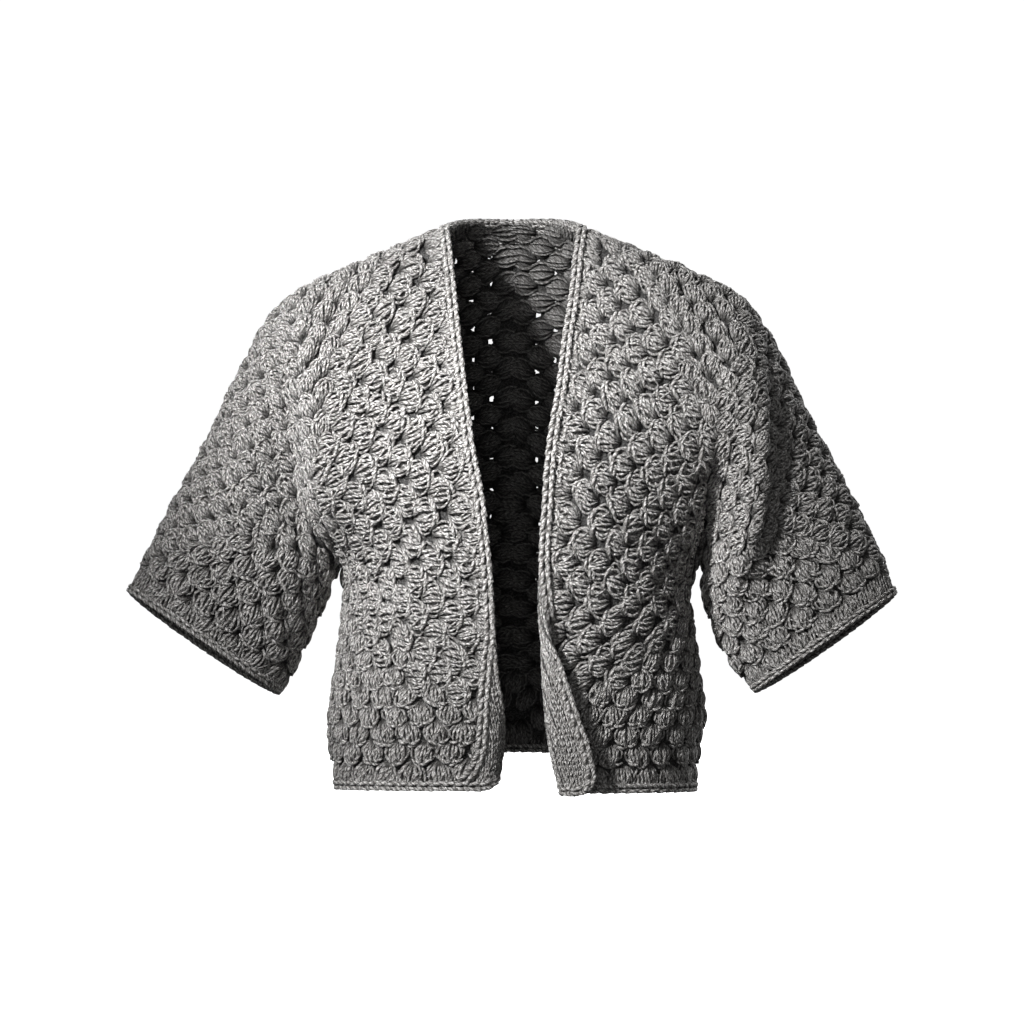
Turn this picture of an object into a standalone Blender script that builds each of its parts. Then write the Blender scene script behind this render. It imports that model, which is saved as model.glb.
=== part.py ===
"""Open-front crocheted cardigan with elbow sleeves, kept in the hollow shape it has when worn.

Each half is a six-sided crocheted piece, worked round from the underarm and folded so that it
gives half of the front, half of the back and one sleeve. The two halves meet at the centre back.
A border runs up the fronts, round the hem and the cuffs, and plain rows fill the back of the neck.

Frame: +X to the wearer's left, -Y to the front, +Z up, origin between the two neck points, where
the shoulders carry the garment. Tables are in millimetres, and the meshes are in metres.
"""

from collections import namedtuple

import bpy
import numpy as np

MM = 0.001

# Cloth
PANEL_WALL = 4.0
BORDER_WALL = 6.0
HALF_SEAM = 0.15
YARN_GREY = (0.34, 0.335, 0.33, 1.0)
BORDER_GREY = (0.42, 0.415, 0.41, 1.0)
YARN_ROUGHNESS = 0.92

# Widths of the borders
FRONT_BORDER = 11.0
HEM_BORDER = 12.0
CUFF_BORDER = 9.0
NECK_BORDER = 27.0

# Faces along and across the pieces
ROWS_BELOW_ARM = 13
ROWS_BESIDE_ARM = 16
FRONT_COLUMNS = 13
EDGE_COLUMNS = 6
EDGE_STEP = 7.5
NECK_COLUMNS = 4
SLEEVE_RINGS = 12
CURVE_STEPS = 14

# A place on one half: out from the centre plane, depth towards the back, height above the neck point
Place = namedtuple("Place", "out depth up")

# How a front's or back's rows bow between their two ends, at a share of the height up the panel
Bow = namedtuple("Bow", "share fullness return_ crown lift")

# How the lower front edge rolls: height, radius of the roll, cloth taken up, +1 forwards, -1 back
Roll = namedtuple("Roll", "up radius taken way")

# A fold's crest or trough: place in front view, height out of the cloth, widths on either side
Fold = namedtuple("Fold", "out up lift inner outer")

BACK_CENTRE = [
    Place(0, 94, -538),
    Place(0, 92, -490),
    Place(0, 92, -420),
    Place(0, 96, -330),
    Place(0, 101, -250),
    Place(0, 103, -170),
    Place(0, 98, -105),
    Place(0, 86, -45),
    Place(0, 64, 14),
]

RIGHT = {
    "sign": -1,
    "opening": [
        Place(19, -100, -549),
        Place(13, -103, -494),
        Place(17, -105, -435),
        Place(22, -107, -341),
        Place(26, -106, -304),
        Place(29, -104, -275),
        Place(39, -95, -222),
        Place(48, -75, -155),
        Place(56, -44, -88),
        Place(62, -20, -35),
        Place(65, -2, -9),
        Place(66, 15, 1),
    ],
    "neck": [
        Place(0, 64, 14),
        Place(25, 60, 14),
        Place(45, 50, 12),
        Place(59, 33, 7),
        Place(66, 15, 1),
    ],
    "side": [
        Place(175, 0, -562),
        Place(184, 0, -506),
        Place(181, 0, -469),
        Place(173, 0, -419),
        Place(168, 0, -362),
        Place(173, 0, -337),
    ],
    "arm_front": [
        Place(173, 0, -337),
        Place(177, -24, -325),
        Place(186, -45, -306),
        Place(195, -61, -276),
        Place(196, -67, -237),
        Place(199, -68, -198),
        Place(205, -63, -159),
        Place(213, -50, -122),
        Place(221, -33, -95),
        Place(227, -15, -80),
        Place(229, 0, -77),
    ],
    "arm_back": [
        Place(173, 0, -337),
        Place(178, 24, -325),
        Place(187, 45, -305),
        Place(194, 60, -272),
        Place(197, 68, -235),
        Place(200, 70, -196),
        Place(206, 64, -157),
        Place(213, 51, -121),
        Place(221, 34, -95),
        Place(227, 15, -80),
        Place(229, 0, -77),
    ],
    "sleeve_top": [
        Place(229, 0, -77),
        Place(247, 0, -97),
        Place(264, 0, -130),
        Place(283, 0, -167),
        Place(303, 0, -210),
        Place(329, 0, -260),
        Place(349, 0, -297),
        Place(383, 0, -367),
    ],
    "sleeve_under": [
        Place(173, 0, -337),
        Place(185, 0, -367),
        Place(205, 0, -411),
        Place(225, 0, -452),
        Place(237, 0, -466),
    ],
    "rolls": [
        Roll(-400, 12, 0, -1),
        Roll(-440, 12, 6, -1),
        Roll(-500, 13, 20, -1),
        Roll(-560, 13, 24, -1),
    ],
    "folds": [
        [
            Fold(205, -150, 2, 40, 16),
            Fold(197, -200, 7, 40, 10),
            Fold(194, -250, 9, 36, 9),
            Fold(190, -285, 7, 30, 9),
            Fold(180, -312, 1, 22, 9),
        ],
        [
            Fold(224, -140, 0, 14, 34),
            Fold(216, -195, -13, 13, 36),
            Fold(212, -250, -19, 13, 38),
            Fold(206, -300, -17, 13, 38),
            Fold(192, -335, -5, 12, 30),
        ],
    ],
}

LEFT = {
    "sign": 1,
    "opening": [
        Place(46, -101, -551),
        Place(35, -104, -503),
        Place(30, -106, -453),
        Place(27, -107, -390),
        Place(24.5, -107, -339),
        Place(27, -105, -289),
        Place(32, -96, -225),
        Place(42, -77, -165),
        Place(48, -58, -118),
        Place(55, -38, -76),
        Place(60, -18, -33),
        Place(63, -1, -9),
        Place(64, 15, 1),
    ],
    "neck": [
        Place(0, 64, 14),
        Place(24, 60, 14),
        Place(43, 50, 12),
        Place(57, 33, 7),
        Place(64, 15, 1),
    ],
    "side": [
        Place(178, 0, -564),
        Place(182, 0, -530),
        Place(188, 0, -492),
        Place(185, 0, -458),
        Place(178, 0, -409),
        Place(174, 0, -366),
        Place(184, 0, -333),
    ],
    "arm_front": [
        Place(184, 0, -333),
        Place(186, -24, -315),
        Place(187, -45, -289),
        Place(190, -58, -261),
        Place(197, -64, -235),
        Place(203, -67, -203),
        Place(209, -65, -165),
        Place(216, -53, -126),
        Place(223, -34, -96),
        Place(228, -15, -79),
        Place(230, 0, -76),
    ],
    "arm_back": [
        Place(184, 0, -333),
        Place(187, 24, -318),
        Place(190, 44, -293),
        Place(194, 59, -263),
        Place(199, 67, -230),
        Place(204, 69, -195),
        Place(210, 64, -158),
        Place(217, 52, -123),
        Place(223, 34, -95),
        Place(228, 15, -79),
        Place(230, 0, -76),
    ],
    "sleeve_top": [
        Place(230, 0, -76),
        Place(246, 0, -97),
        Place(267, 0, -134),
        Place(289, 0, -183),
        Place(313, 0, -229),
        Place(344, 0, -287),
        Place(365, 0, -332),
        Place(379, 0, -369),
    ],
    "sleeve_under": [
        Place(184, 0, -333),
        Place(187, 0, -345),
        Place(192, 0, -377),
        Place(203, 0, -410),
        Place(220, 0, -441),
        Place(243, 0, -464),
    ],
    "rolls": [
        Roll(-330, 7, 0, 1),
        Roll(-385, 7, 10, 1),
        Roll(-427, 7, 29, 1),
        Roll(-467, 7.5, 41, 1),
        Roll(-502, 8, 51, 1),
        Roll(-560, 8.5, 53, 1),
    ],
    "folds": [
        [
            Fold(228, -120, 4, 30, 14),
            Fold(234, -165, 14, 34, 11),
            Fold(238, -215, 19, 26, 10),
            Fold(238, -255, 21, 20, 10),
            Fold(233, -290, 20, 18, 11),
            Fold(224, -330, 15, 16, 13),
            Fold(212, -375, 4, 14, 16),
        ],
        [
            Fold(207, -215, 0, 16, 12),
            Fold(200, -240, -7, 12, 11),
            Fold(196, -270, -12, 11, 12),
            Fold(192, -305, -11, 10, 12),
            Fold(189, -330, -3, 8, 10),
        ],
    ],
}

BODY_BOWS = [
    Bow(0.00, 2.3, 2.0, 0, 0),
    Bow(0.35, 2.3, 2.0, 0, 0),
    Bow(0.45, 2.2, 1.6, 1, 0),
    Bow(0.60, 2.2, 1.25, 3, 0),
    Bow(0.75, 2.0, 1.1, 6, 2),
    Bow(0.86, 1.9, 1.0, 8, 5),
    Bow(0.93, 1.7, 1.0, 7, 7),
    Bow(0.97, 1.5, 1.0, 5, 4),
    Bow(1.00, 1.4, 1.0, 0, 0),
]

UNDERARM_HEIGHT = -335.0
HEM_LEVEL_SHARE = 0.3
SHOULDER_DROP = 0.07
SHOULDER_DROP_POWER = 10
NECK_SHARE = 0.29
NECK_FADE = 105.0

# The cuff's oval: half its depth, and how far its front and back edges lie along the sleeve
CUFF_DEPTH = 46.0
CUFF_FRONT_SHIFT = -8.0
CUFF_BACK_SHIFT = 14.0
CUFF_ROUNDNESS = 0.85


def smooth_curve(places):
    """A dense line on a smooth curve through a table of places."""
    knots = np.array(places, float)
    padded = np.vstack([2 * knots[0] - knots[1], knots, 2 * knots[-1] - knots[-2]])
    pieces = []
    for i in range(len(knots) - 1):
        before, start, end, after = padded[i : i + 4]
        reach = np.linalg.norm(end - start)
        into = (end - before) * reach / (reach + np.linalg.norm(start - before))
        out_of = (after - start) * reach / (reach + np.linalg.norm(after - end))
        t = np.linspace(0, 1, CURVE_STEPS, endpoint=False)[:, None]
        pieces.append(
            (2 * t**3 - 3 * t**2 + 1) * start
            + (t**3 - 2 * t**2 + t) * into
            + (3 * t**2 - 2 * t**3) * end
            + (t**3 - t**2) * out_of
        )
    return np.vstack(pieces + [knots[-1:]])


def lengths_along(line):
    steps = np.linalg.norm(np.diff(line, axis=0), axis=1)
    return np.concatenate([[0], np.cumsum(steps)])


def at_lengths(line, wanted):
    """Points at given lengths along a line."""
    reached = lengths_along(line)
    return np.stack([np.interp(wanted, reached, line[:, axis]) for axis in range(3)], axis=1)


def at_shares(line, shares):
    return at_lengths(line, np.asarray(shares) * lengths_along(line)[-1])


def column_of(table, key, name, at):
    """A table's column, read at a key between its rows."""
    rows = sorted((getattr(row, key), getattr(row, name)) for row in table)
    keys, values = zip(*rows)
    return np.interp(at, keys, values)


def body_shares(outer_below, border):
    """Where the rows lie along the side seam, the first one at the top of the hem border."""
    first = border / lengths_along(outer_below)[-1]
    return np.concatenate([[0], np.linspace(first, 1, ROWS_BELOW_ARM)])


def outer_places(half, arm):
    """The outer end of each row, from the hem up the side and round the armhole to the shoulder tip."""
    side = smooth_curve(half["side"])
    below = at_shares(side, body_shares(side, HEM_BORDER))
    beside = at_shares(smooth_curve(half[arm]), np.linspace(0, 1, ROWS_BESIDE_ARM + 1))
    return np.vstack([below, beside[1:]])


def inner_places(line, top_rows):
    """The inner end of each row, on the opening or the centre back."""
    total = lengths_along(line)[-1]
    arm = np.interp(UNDERARM_HEIGHT, line[:, 2], lengths_along(line))
    below = np.concatenate([[0], np.linspace(HEM_BORDER, arm, ROWS_BELOW_ARM)])
    beside = np.linspace(arm, total - top_rows[0], ROWS_BESIDE_ARM - len(top_rows) + 1)[1:]
    upper = [total - depth for depth in top_rows[1:]] + [total]
    return at_lengths(line, np.concatenate([below, beside, upper]))


def bowed_row(start, end, share):
    """A row of cloth from its inner end to its outer end, bowed out as the body's form asks."""
    fullness = column_of(BODY_BOWS, "share", "fullness", share)
    return_ = column_of(BODY_BOWS, "share", "return_", share)
    crown = column_of(BODY_BOWS, "share", "crown", share)
    lift = column_of(BODY_BOWS, "share", "lift", share)
    s = np.sin(np.linspace(0, np.pi / 2, 80))
    turn = (1 - s**fullness) ** (1 / return_)
    front = np.sign(start[1] + end[1] - 1e-9)
    level = np.clip((share - HEM_LEVEL_SHARE) / HEM_LEVEL_SHARE, 0, 1)
    drop = (1 - SHOULDER_DROP) * s + SHOULDER_DROP * s**SHOULDER_DROP_POWER
    drop = level * drop + (1 - level) * (1 - turn)
    row = np.empty((len(s), 3))
    row[:, 0] = start[0] + (end[0] - start[0]) * s
    row[:, 1] = end[1] + (start[1] - end[1]) * turn + front * crown * 4 * s * (1 - s)
    row[:, 2] = start[2] + (end[2] - start[2]) * drop + lift * 4 * s * (1 - s)
    return row


def rolled_edge(row, radius, taken, way):
    """The cloth past the row's start, rolled forwards or back on itself, before the row proper."""
    if taken < 0.5:
        return row
    along = row[6] - row[0]
    along[2] = 0
    along /= np.linalg.norm(along)
    out = way * np.array([along[1], -along[0], 0.0])
    if out[1] * way > 0:
        out = -out
    reach = radius * np.sin(min(taken / radius, np.pi / 2))
    start = row[0] + along * reach
    cut = np.searchsorted(lengths_along(row), reach)
    points = []
    for length in np.linspace(taken, 0, 24):
        angle = min(length / radius, np.pi)
        straight = max(0, length - np.pi * radius)
        points.append(start - along * radius * np.sin(angle) + along * straight + out * radius * (1 - np.cos(angle)))
    return np.vstack([points[:-1], [start], row[cut + 1 :]])


def front_column_lengths(total, border):
    """Lengths along a front row of its columns, close together where the edge rolls."""
    fine = border + EDGE_STEP * np.arange(EDGE_COLUMNS)
    coarse = np.linspace(fine[-1] + EDGE_STEP, total, FRONT_COLUMNS - EDGE_COLUMNS + 1)
    return np.concatenate([[0], fine, coarse])


def front_grid(half):
    outer = outer_places(half, "arm_front")
    opening = smooth_curve(half["opening"])
    inner = inner_places(opening, [18.0, 8.0])
    grid = []
    for number, (start, end) in enumerate(zip(inner, outer)):
        row = bowed_row(start, end, number / (len(outer) - 1))
        roll = {name: column_of(half["rolls"], "up", name, start[2]) for name in Roll._fields}
        row = rolled_edge(row, roll["radius"], roll["taken"], half["rolls"][0].way)
        total = lengths_along(row)[-1]
        grid.append(at_lengths(row, front_column_lengths(total, FRONT_BORDER)))
    return np.array(grid)


def back_grid(half, shoulder):
    """The back from its centre to the side, its top row lying on the neck edge and the front's shoulder row."""
    outer = outer_places(half, "arm_back")
    centre = smooth_curve(BACK_CENTRE)
    inner = inner_places(centre, [NECK_BORDER])
    neck = at_shares(smooth_curve(half["neck"]), np.linspace(0, 1, NECK_COLUMNS + 1))
    top = np.vstack([neck, shoulder[1:]])
    shares = np.concatenate(
        [
            np.linspace(0, NECK_SHARE, NECK_COLUMNS + 1),
            NECK_SHARE + (1 - NECK_SHARE) * (lengths_along(shoulder) / lengths_along(shoulder)[-1])[1:],
        ]
    )
    rows = [
        at_shares(bowed_row(start, end, number / (len(outer) - 1)), shares)
        for number, (start, end) in enumerate(zip(inner, outer))
    ]
    correction = top - rows[-1]
    for number, row in enumerate(rows):
        below = np.linalg.norm(inner[number:] - np.vstack([inner[number + 1 :], inner[-1:]]), axis=1).sum()
        row += correction * max(0, 1 - below / NECK_FADE) ** 2
    return np.array(rows)


def cuff_ring(half, count):
    """The cuff's edge, from its lowest point up the front to the top and down the back."""
    low, high = np.array(half["sleeve_under"][-1]), np.array(half["sleeve_top"][-1])
    chord = high - low
    downward = np.array([chord[2], 0, -chord[0]]) / np.linalg.norm(chord)
    angles = np.linspace(0, 2 * np.pi, count, endpoint=False)
    ring = []
    for angle in angles:
        depth = np.sign(np.sin(angle)) * abs(np.sin(angle)) ** CUFF_ROUNDNESS
        shift = CUFF_FRONT_SHIFT if depth > 0 else CUFF_BACK_SHIFT
        place = low + chord * (1 - np.cos(angle)) / 2
        ring.append(place + [0, -CUFF_DEPTH * depth, 0] + downward * shift * abs(depth))
    return np.array(ring)


def sleeve_grid(half, arm_front, arm_back):
    """Rings from the armhole to the cuff, each one closed, starting at the underarm."""
    armhole = np.vstack([arm_front, arm_back[-2:0:-1]])
    cuff = cuff_ring(half, len(armhole))
    top_line, under_line = smooth_curve(half["sleeve_top"]), smooth_curve(half["sleeve_under"])
    last = 1 - CUFF_BORDER / lengths_along(under_line)[-1]
    shares = np.concatenate([np.linspace(0, last, SLEEVE_RINGS), [1]])
    top, under = at_shares(top_line, shares), at_shares(under_line, shares)
    crest = len(arm_front) - 1
    upward = (1 - np.cos(np.linspace(0, 2 * np.pi, len(armhole), endpoint=False))) / 2
    grid = []
    for number, share in enumerate(shares):
        ring = (1 - share) * armhole + share * cuff
        ring += np.outer(upward, top[number] - ring[crest])
        ring += np.outer(1 - upward, under[number] - ring[0])
        grid.append(ring)
    return np.array(grid)


def fold_lift(crest, points):
    """How far a fold, given along its crest, lifts the cloth at points in the front view."""
    line = np.array(crest, float)
    lift = np.zeros(len(points))
    nearest = np.full(len(points), np.inf)
    for start, end in zip(line, line[1:]):
        run = end[:2] - start[:2]
        share = np.clip(((points - start[:2]) @ run) / (run @ run), 0, 1)
        offset = points - start[:2] - share[:, None] * run
        distance = np.linalg.norm(offset, axis=1)
        lift_here, inner, outer = (start[2:] + share[:, None] * (end[2:] - start[2:])).T
        width = np.where(offset[:, 0] < 0, inner, outer)
        closer = distance < nearest
        lift = np.where(closer, lift_here * np.exp(-((distance / width) ** 2)), lift)
        nearest = np.minimum(distance, nearest)
    return lift


def folded(points, half):
    """Moves the points of the front half of the cloth out or in along its folds."""
    flat = points.reshape(-1, 3).copy()
    seen = np.clip(-flat[:, 1] / 25.0, 0, 1)
    behind = np.clip(flat[:, 1] / 25.0, 0, 1)
    for crest in half["folds"]:
        lift = fold_lift(crest, flat[:, [0, 2]])
        flat[:, 1] += (0.7 * behind - seen) * lift
    return flat.reshape(points.shape)


class Cloth:
    """Every face of the garment on shared points, each face marked with its piece."""

    def __init__(self):
        self.points = []
        self.index = {}
        self.faces = []
        self.pieces = []

    def point(self, place):
        key = tuple(np.round(place, 4))
        if key not in self.index:
            self.index[key] = len(self.points)
            self.points.append(place)
        return self.index[key]

    def add_grid(self, grid, piece_at, flipped, closed=False):
        rows, columns = grid.shape[:2]
        numbers = [[self.point(place) for place in row] for row in grid]
        for i in range(rows - 1):
            for j in range(columns if closed else columns - 1):
                k = (j + 1) % columns
                face = [numbers[i][j], numbers[i][k], numbers[i + 1][k], numbers[i + 1][j]]
                self.faces.append(face[::-1] if flipped else face)
                self.pieces.append(piece_at(i, j))

    def normals(self):
        points, faces = np.array(self.points), np.array(self.faces)
        across = points[faces[:, 2]] - points[faces[:, 0]]
        along = points[faces[:, 3]] - points[faces[:, 1]]
        face_normals = np.cross(across, along)
        normals = np.zeros_like(points)
        for corner in range(4):
            np.add.at(normals, faces[:, corner], face_normals)
        return normals / np.linalg.norm(normals, axis=1)[:, None]


def placed(grid, sign):
    """A grid of one half's places, in the garment's own frame."""
    return grid * np.array([sign, 1, 1])


def add_half(cloth, half, name):
    sign = half["sign"]
    front = front_grid(half)
    shoulder = front[-1]
    back = back_grid(half, shoulder)
    sleeve = sleeve_grid(half, front[ROWS_BELOW_ARM:, -1], back[ROWS_BELOW_ARM:, -1])
    front, back, sleeve = (placed(folded(grid, half), sign) for grid in (front, back, sleeve))

    def front_piece(row, column):
        if column == 0:
            return f"front_band_{name}"
        return f"hem_band_{name}" if row == 0 else f"front_{name}"

    def back_piece(row, column):
        if row == len(back) - 2 and column < NECK_COLUMNS:
            return "neck_band"
        return f"hem_band_{name}" if row == 0 else f"back_{name}"

    def sleeve_piece(ring, _):
        return f"cuff_band_{name}" if ring == len(sleeve) - 2 else f"sleeve_{name}"

    cloth.add_grid(front, front_piece, flipped=sign < 0)
    cloth.add_grid(back, back_piece, flipped=sign > 0)
    cloth.add_grid(sleeve, sleeve_piece, flipped=sign > 0, closed=True)


def seam_shifts(faces, points, normals):
    """How each point on a piece's edge moves in to leave its half of the seam's gap."""
    edges = {}
    for face in faces:
        for start, end in zip(face, np.roll(face, -1)):
            edges[(start, end)] = True
    inward = {}
    for start, end in edges:
        if (end, start) in edges:
            continue
        along = points[end] - points[start]
        normal = normals[start] + normals[end]
        side = np.cross(normal, along)
        side /= np.linalg.norm(side)
        inward.setdefault(start, []).append(side)
        inward.setdefault(end, []).append(side)
    return {
        point: HALF_SEAM * sum(sides) / max(0.4, 1 + sides[0] @ sides[-1] if len(sides) > 1 else 1)
        for point, sides in inward.items()
    }, [edge for edge in edges if (edge[1], edge[0]) not in edges]


def wall_widths(cloth):
    """The cloth's thickness at each point: a border is thicker than a panel except along its seam."""
    widths = np.full(len(cloth.points), BORDER_WALL)
    for face, piece in zip(cloth.faces, cloth.pieces):
        if "band" not in piece:
            widths[face] = PANEL_WALL
    return widths


def wall_mesh(name, faces, points, normals, widths):
    """A closed wall of cloth about the middle surface of one piece."""
    shifts, rim = seam_shifts(faces, points, normals)
    used = sorted({point for face in faces for point in face})
    number = {point: i for i, point in enumerate(used)}
    middle = np.array([points[point] + shifts.get(point, 0) for point in used])
    outward = normals[used] * widths[used][:, None] / 2
    vertices = np.vstack([middle + outward, middle - outward]) * MM
    count = len(used)
    triangles = []
    for face in faces:
        a, b, c, d = (number[point] for point in face)
        triangles += [(a, b, c), (a, c, d)]
        triangles += [(a + count, c + count, b + count), (a + count, d + count, c + count)]
    for start, end in rim:
        a, b = number[start], number[end]
        if start < end:
            triangles += [(b, a, b + count), (a, a + count, b + count)]
        else:
            triangles += [(b, a, a + count), (b, a + count, b + count)]
    mesh = bpy.data.meshes.new(name)
    mesh.from_pydata(vertices.tolist(), [], triangles)
    mesh.validate()
    mesh.shade_smooth()
    mesh.set_sharp_from_angle(angle=0.9)
    return mesh


def yarn_material(name, colour):
    material = bpy.data.materials.new(name)
    material.use_nodes = True
    shader = material.node_tree.nodes["Principled BSDF"]
    shader.inputs["Base Color"].default_value = colour
    shader.inputs["Roughness"].default_value = YARN_ROUGHNESS
    shader.inputs["Metallic"].default_value = 0.0
    return material


def build_garment():
    for obj in list(bpy.data.objects):
        bpy.data.objects.remove(obj, do_unlink=True)
    cloth = Cloth()
    add_half(cloth, RIGHT, "right")
    add_half(cloth, LEFT, "left")
    points, normals, widths = np.array(cloth.points), cloth.normals(), wall_widths(cloth)
    panel_yarn = yarn_material("panel_yarn", YARN_GREY)
    border_yarn = yarn_material("border_yarn", BORDER_GREY)
    for name in sorted(set(cloth.pieces)):
        faces = [face for face, piece in zip(cloth.faces, cloth.pieces) if piece == name]
        mesh = wall_mesh(name, faces, points, normals, widths)
        mesh.materials.append(border_yarn if "band" in name else panel_yarn)
        bpy.context.scene.collection.objects.link(bpy.data.objects.new(name, mesh))


build_garment()
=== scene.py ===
"""Looks of the crocheted cardigan: clusters of grey melange yarn on thin sheets of cloth.

Each half of the garment is one curved sheet, drawn from the same tables as the solids. Rounds of
three-stitch clusters lie on it, and every cluster is a fan of yarn strands that bends with the
cloth under it. Tables and sizes are in millimetres until a mesh is made.
"""

import math
from collections import namedtuple

import bpy
import numpy as np
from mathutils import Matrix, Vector
from mathutils.bvhtree import BVHTree


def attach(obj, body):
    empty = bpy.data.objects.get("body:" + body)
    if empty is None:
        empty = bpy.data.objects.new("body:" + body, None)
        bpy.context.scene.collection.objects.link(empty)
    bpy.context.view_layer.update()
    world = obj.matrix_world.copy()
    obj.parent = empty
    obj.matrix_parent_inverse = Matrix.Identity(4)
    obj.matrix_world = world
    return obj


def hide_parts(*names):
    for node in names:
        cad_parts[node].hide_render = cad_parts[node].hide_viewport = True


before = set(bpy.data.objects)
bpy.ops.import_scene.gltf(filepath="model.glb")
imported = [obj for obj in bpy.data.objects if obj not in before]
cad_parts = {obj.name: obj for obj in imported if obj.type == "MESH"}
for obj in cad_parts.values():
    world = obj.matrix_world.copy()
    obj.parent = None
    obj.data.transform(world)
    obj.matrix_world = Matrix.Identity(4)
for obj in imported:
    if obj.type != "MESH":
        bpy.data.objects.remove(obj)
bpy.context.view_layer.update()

MM = 0.001

# Widths of the borders
FRONT_BORDER = 11.0
HEM_BORDER = 12.0
CUFF_BORDER = 9.0
NECK_BORDER = 27.0

# Rows and columns of the solids' tables, and how much finer this cloth is
TABLE_ROWS_BELOW_ARM = 13
TABLE_ROWS_BESIDE_ARM = 16
FINE = 4
BORDER_STEPS = 3
ROWS_BELOW_ARM = 46
ROWS_BESIDE_ARM = FINE * TABLE_ROWS_BESIDE_ARM
EDGE_COLUMNS = 22
EDGE_STEP = 2.8
FRONT_COLUMNS = 52
NECK_COLUMNS = 14
SLEEVE_RINGS = 56
CURVE_STEPS = 14

# A place on one half: out from the centre plane, depth towards the back, height above the neck point
Place = namedtuple("Place", "out depth up")

# How a front's or back's rows bow between their two ends, at a share of the height up the panel
Bow = namedtuple("Bow", "share fullness return_ crown lift")

# How the lower front edge rolls: height, radius of the roll, cloth taken up, +1 forwards, -1 back
Roll = namedtuple("Roll", "up radius taken way")

# A fold's crest or trough: place in front view, height out of the cloth, widths on either side
Fold = namedtuple("Fold", "out up lift inner outer")

BACK_CENTRE = [
    Place(0, 94, -538),
    Place(0, 92, -490),
    Place(0, 92, -420),
    Place(0, 96, -330),
    Place(0, 101, -250),
    Place(0, 103, -170),
    Place(0, 98, -105),
    Place(0, 86, -45),
    Place(0, 64, 14),
]

RIGHT = {
    "sign": -1,
    "opening": [
        Place(19, -100, -549),
        Place(13, -103, -494),
        Place(17, -105, -435),
        Place(22, -107, -341),
        Place(26, -106, -304),
        Place(29, -104, -275),
        Place(39, -95, -222),
        Place(48, -75, -155),
        Place(56, -44, -88),
        Place(62, -20, -35),
        Place(65, -2, -9),
        Place(66, 15, 1),
    ],
    "neck": [
        Place(0, 64, 14),
        Place(25, 60, 14),
        Place(45, 50, 12),
        Place(59, 33, 7),
        Place(66, 15, 1),
    ],
    "side": [
        Place(175, 0, -562),
        Place(184, 0, -506),
        Place(181, 0, -469),
        Place(173, 0, -419),
        Place(168, 0, -362),
        Place(173, 0, -337),
    ],
    "arm_front": [
        Place(173, 0, -337),
        Place(177, -24, -325),
        Place(186, -45, -306),
        Place(195, -61, -276),
        Place(196, -67, -237),
        Place(199, -68, -198),
        Place(205, -63, -159),
        Place(213, -50, -122),
        Place(221, -33, -95),
        Place(227, -15, -80),
        Place(229, 0, -77),
    ],
    "arm_back": [
        Place(173, 0, -337),
        Place(178, 24, -325),
        Place(187, 45, -305),
        Place(194, 60, -272),
        Place(197, 68, -235),
        Place(200, 70, -196),
        Place(206, 64, -157),
        Place(213, 51, -121),
        Place(221, 34, -95),
        Place(227, 15, -80),
        Place(229, 0, -77),
    ],
    "sleeve_top": [
        Place(229, 0, -77),
        Place(247, 0, -97),
        Place(264, 0, -130),
        Place(283, 0, -167),
        Place(303, 0, -210),
        Place(329, 0, -260),
        Place(349, 0, -297),
        Place(383, 0, -367),
    ],
    "sleeve_under": [
        Place(173, 0, -337),
        Place(185, 0, -367),
        Place(205, 0, -411),
        Place(225, 0, -452),
        Place(237, 0, -466),
    ],
    "rolls": [
        Roll(-400, 12, 0, -1),
        Roll(-440, 12, 6, -1),
        Roll(-500, 13, 20, -1),
        Roll(-560, 13, 24, -1),
    ],
    "folds": [
        [
            Fold(205, -150, 2, 40, 16),
            Fold(197, -200, 7, 40, 10),
            Fold(194, -250, 9, 36, 9),
            Fold(190, -285, 7, 30, 9),
            Fold(180, -312, 1, 22, 9),
        ],
        [
            Fold(224, -140, 0, 14, 34),
            Fold(216, -195, -13, 13, 36),
            Fold(212, -250, -19, 13, 38),
            Fold(206, -300, -17, 13, 38),
            Fold(192, -335, -5, 12, 30),
        ],
    ],
}

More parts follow.
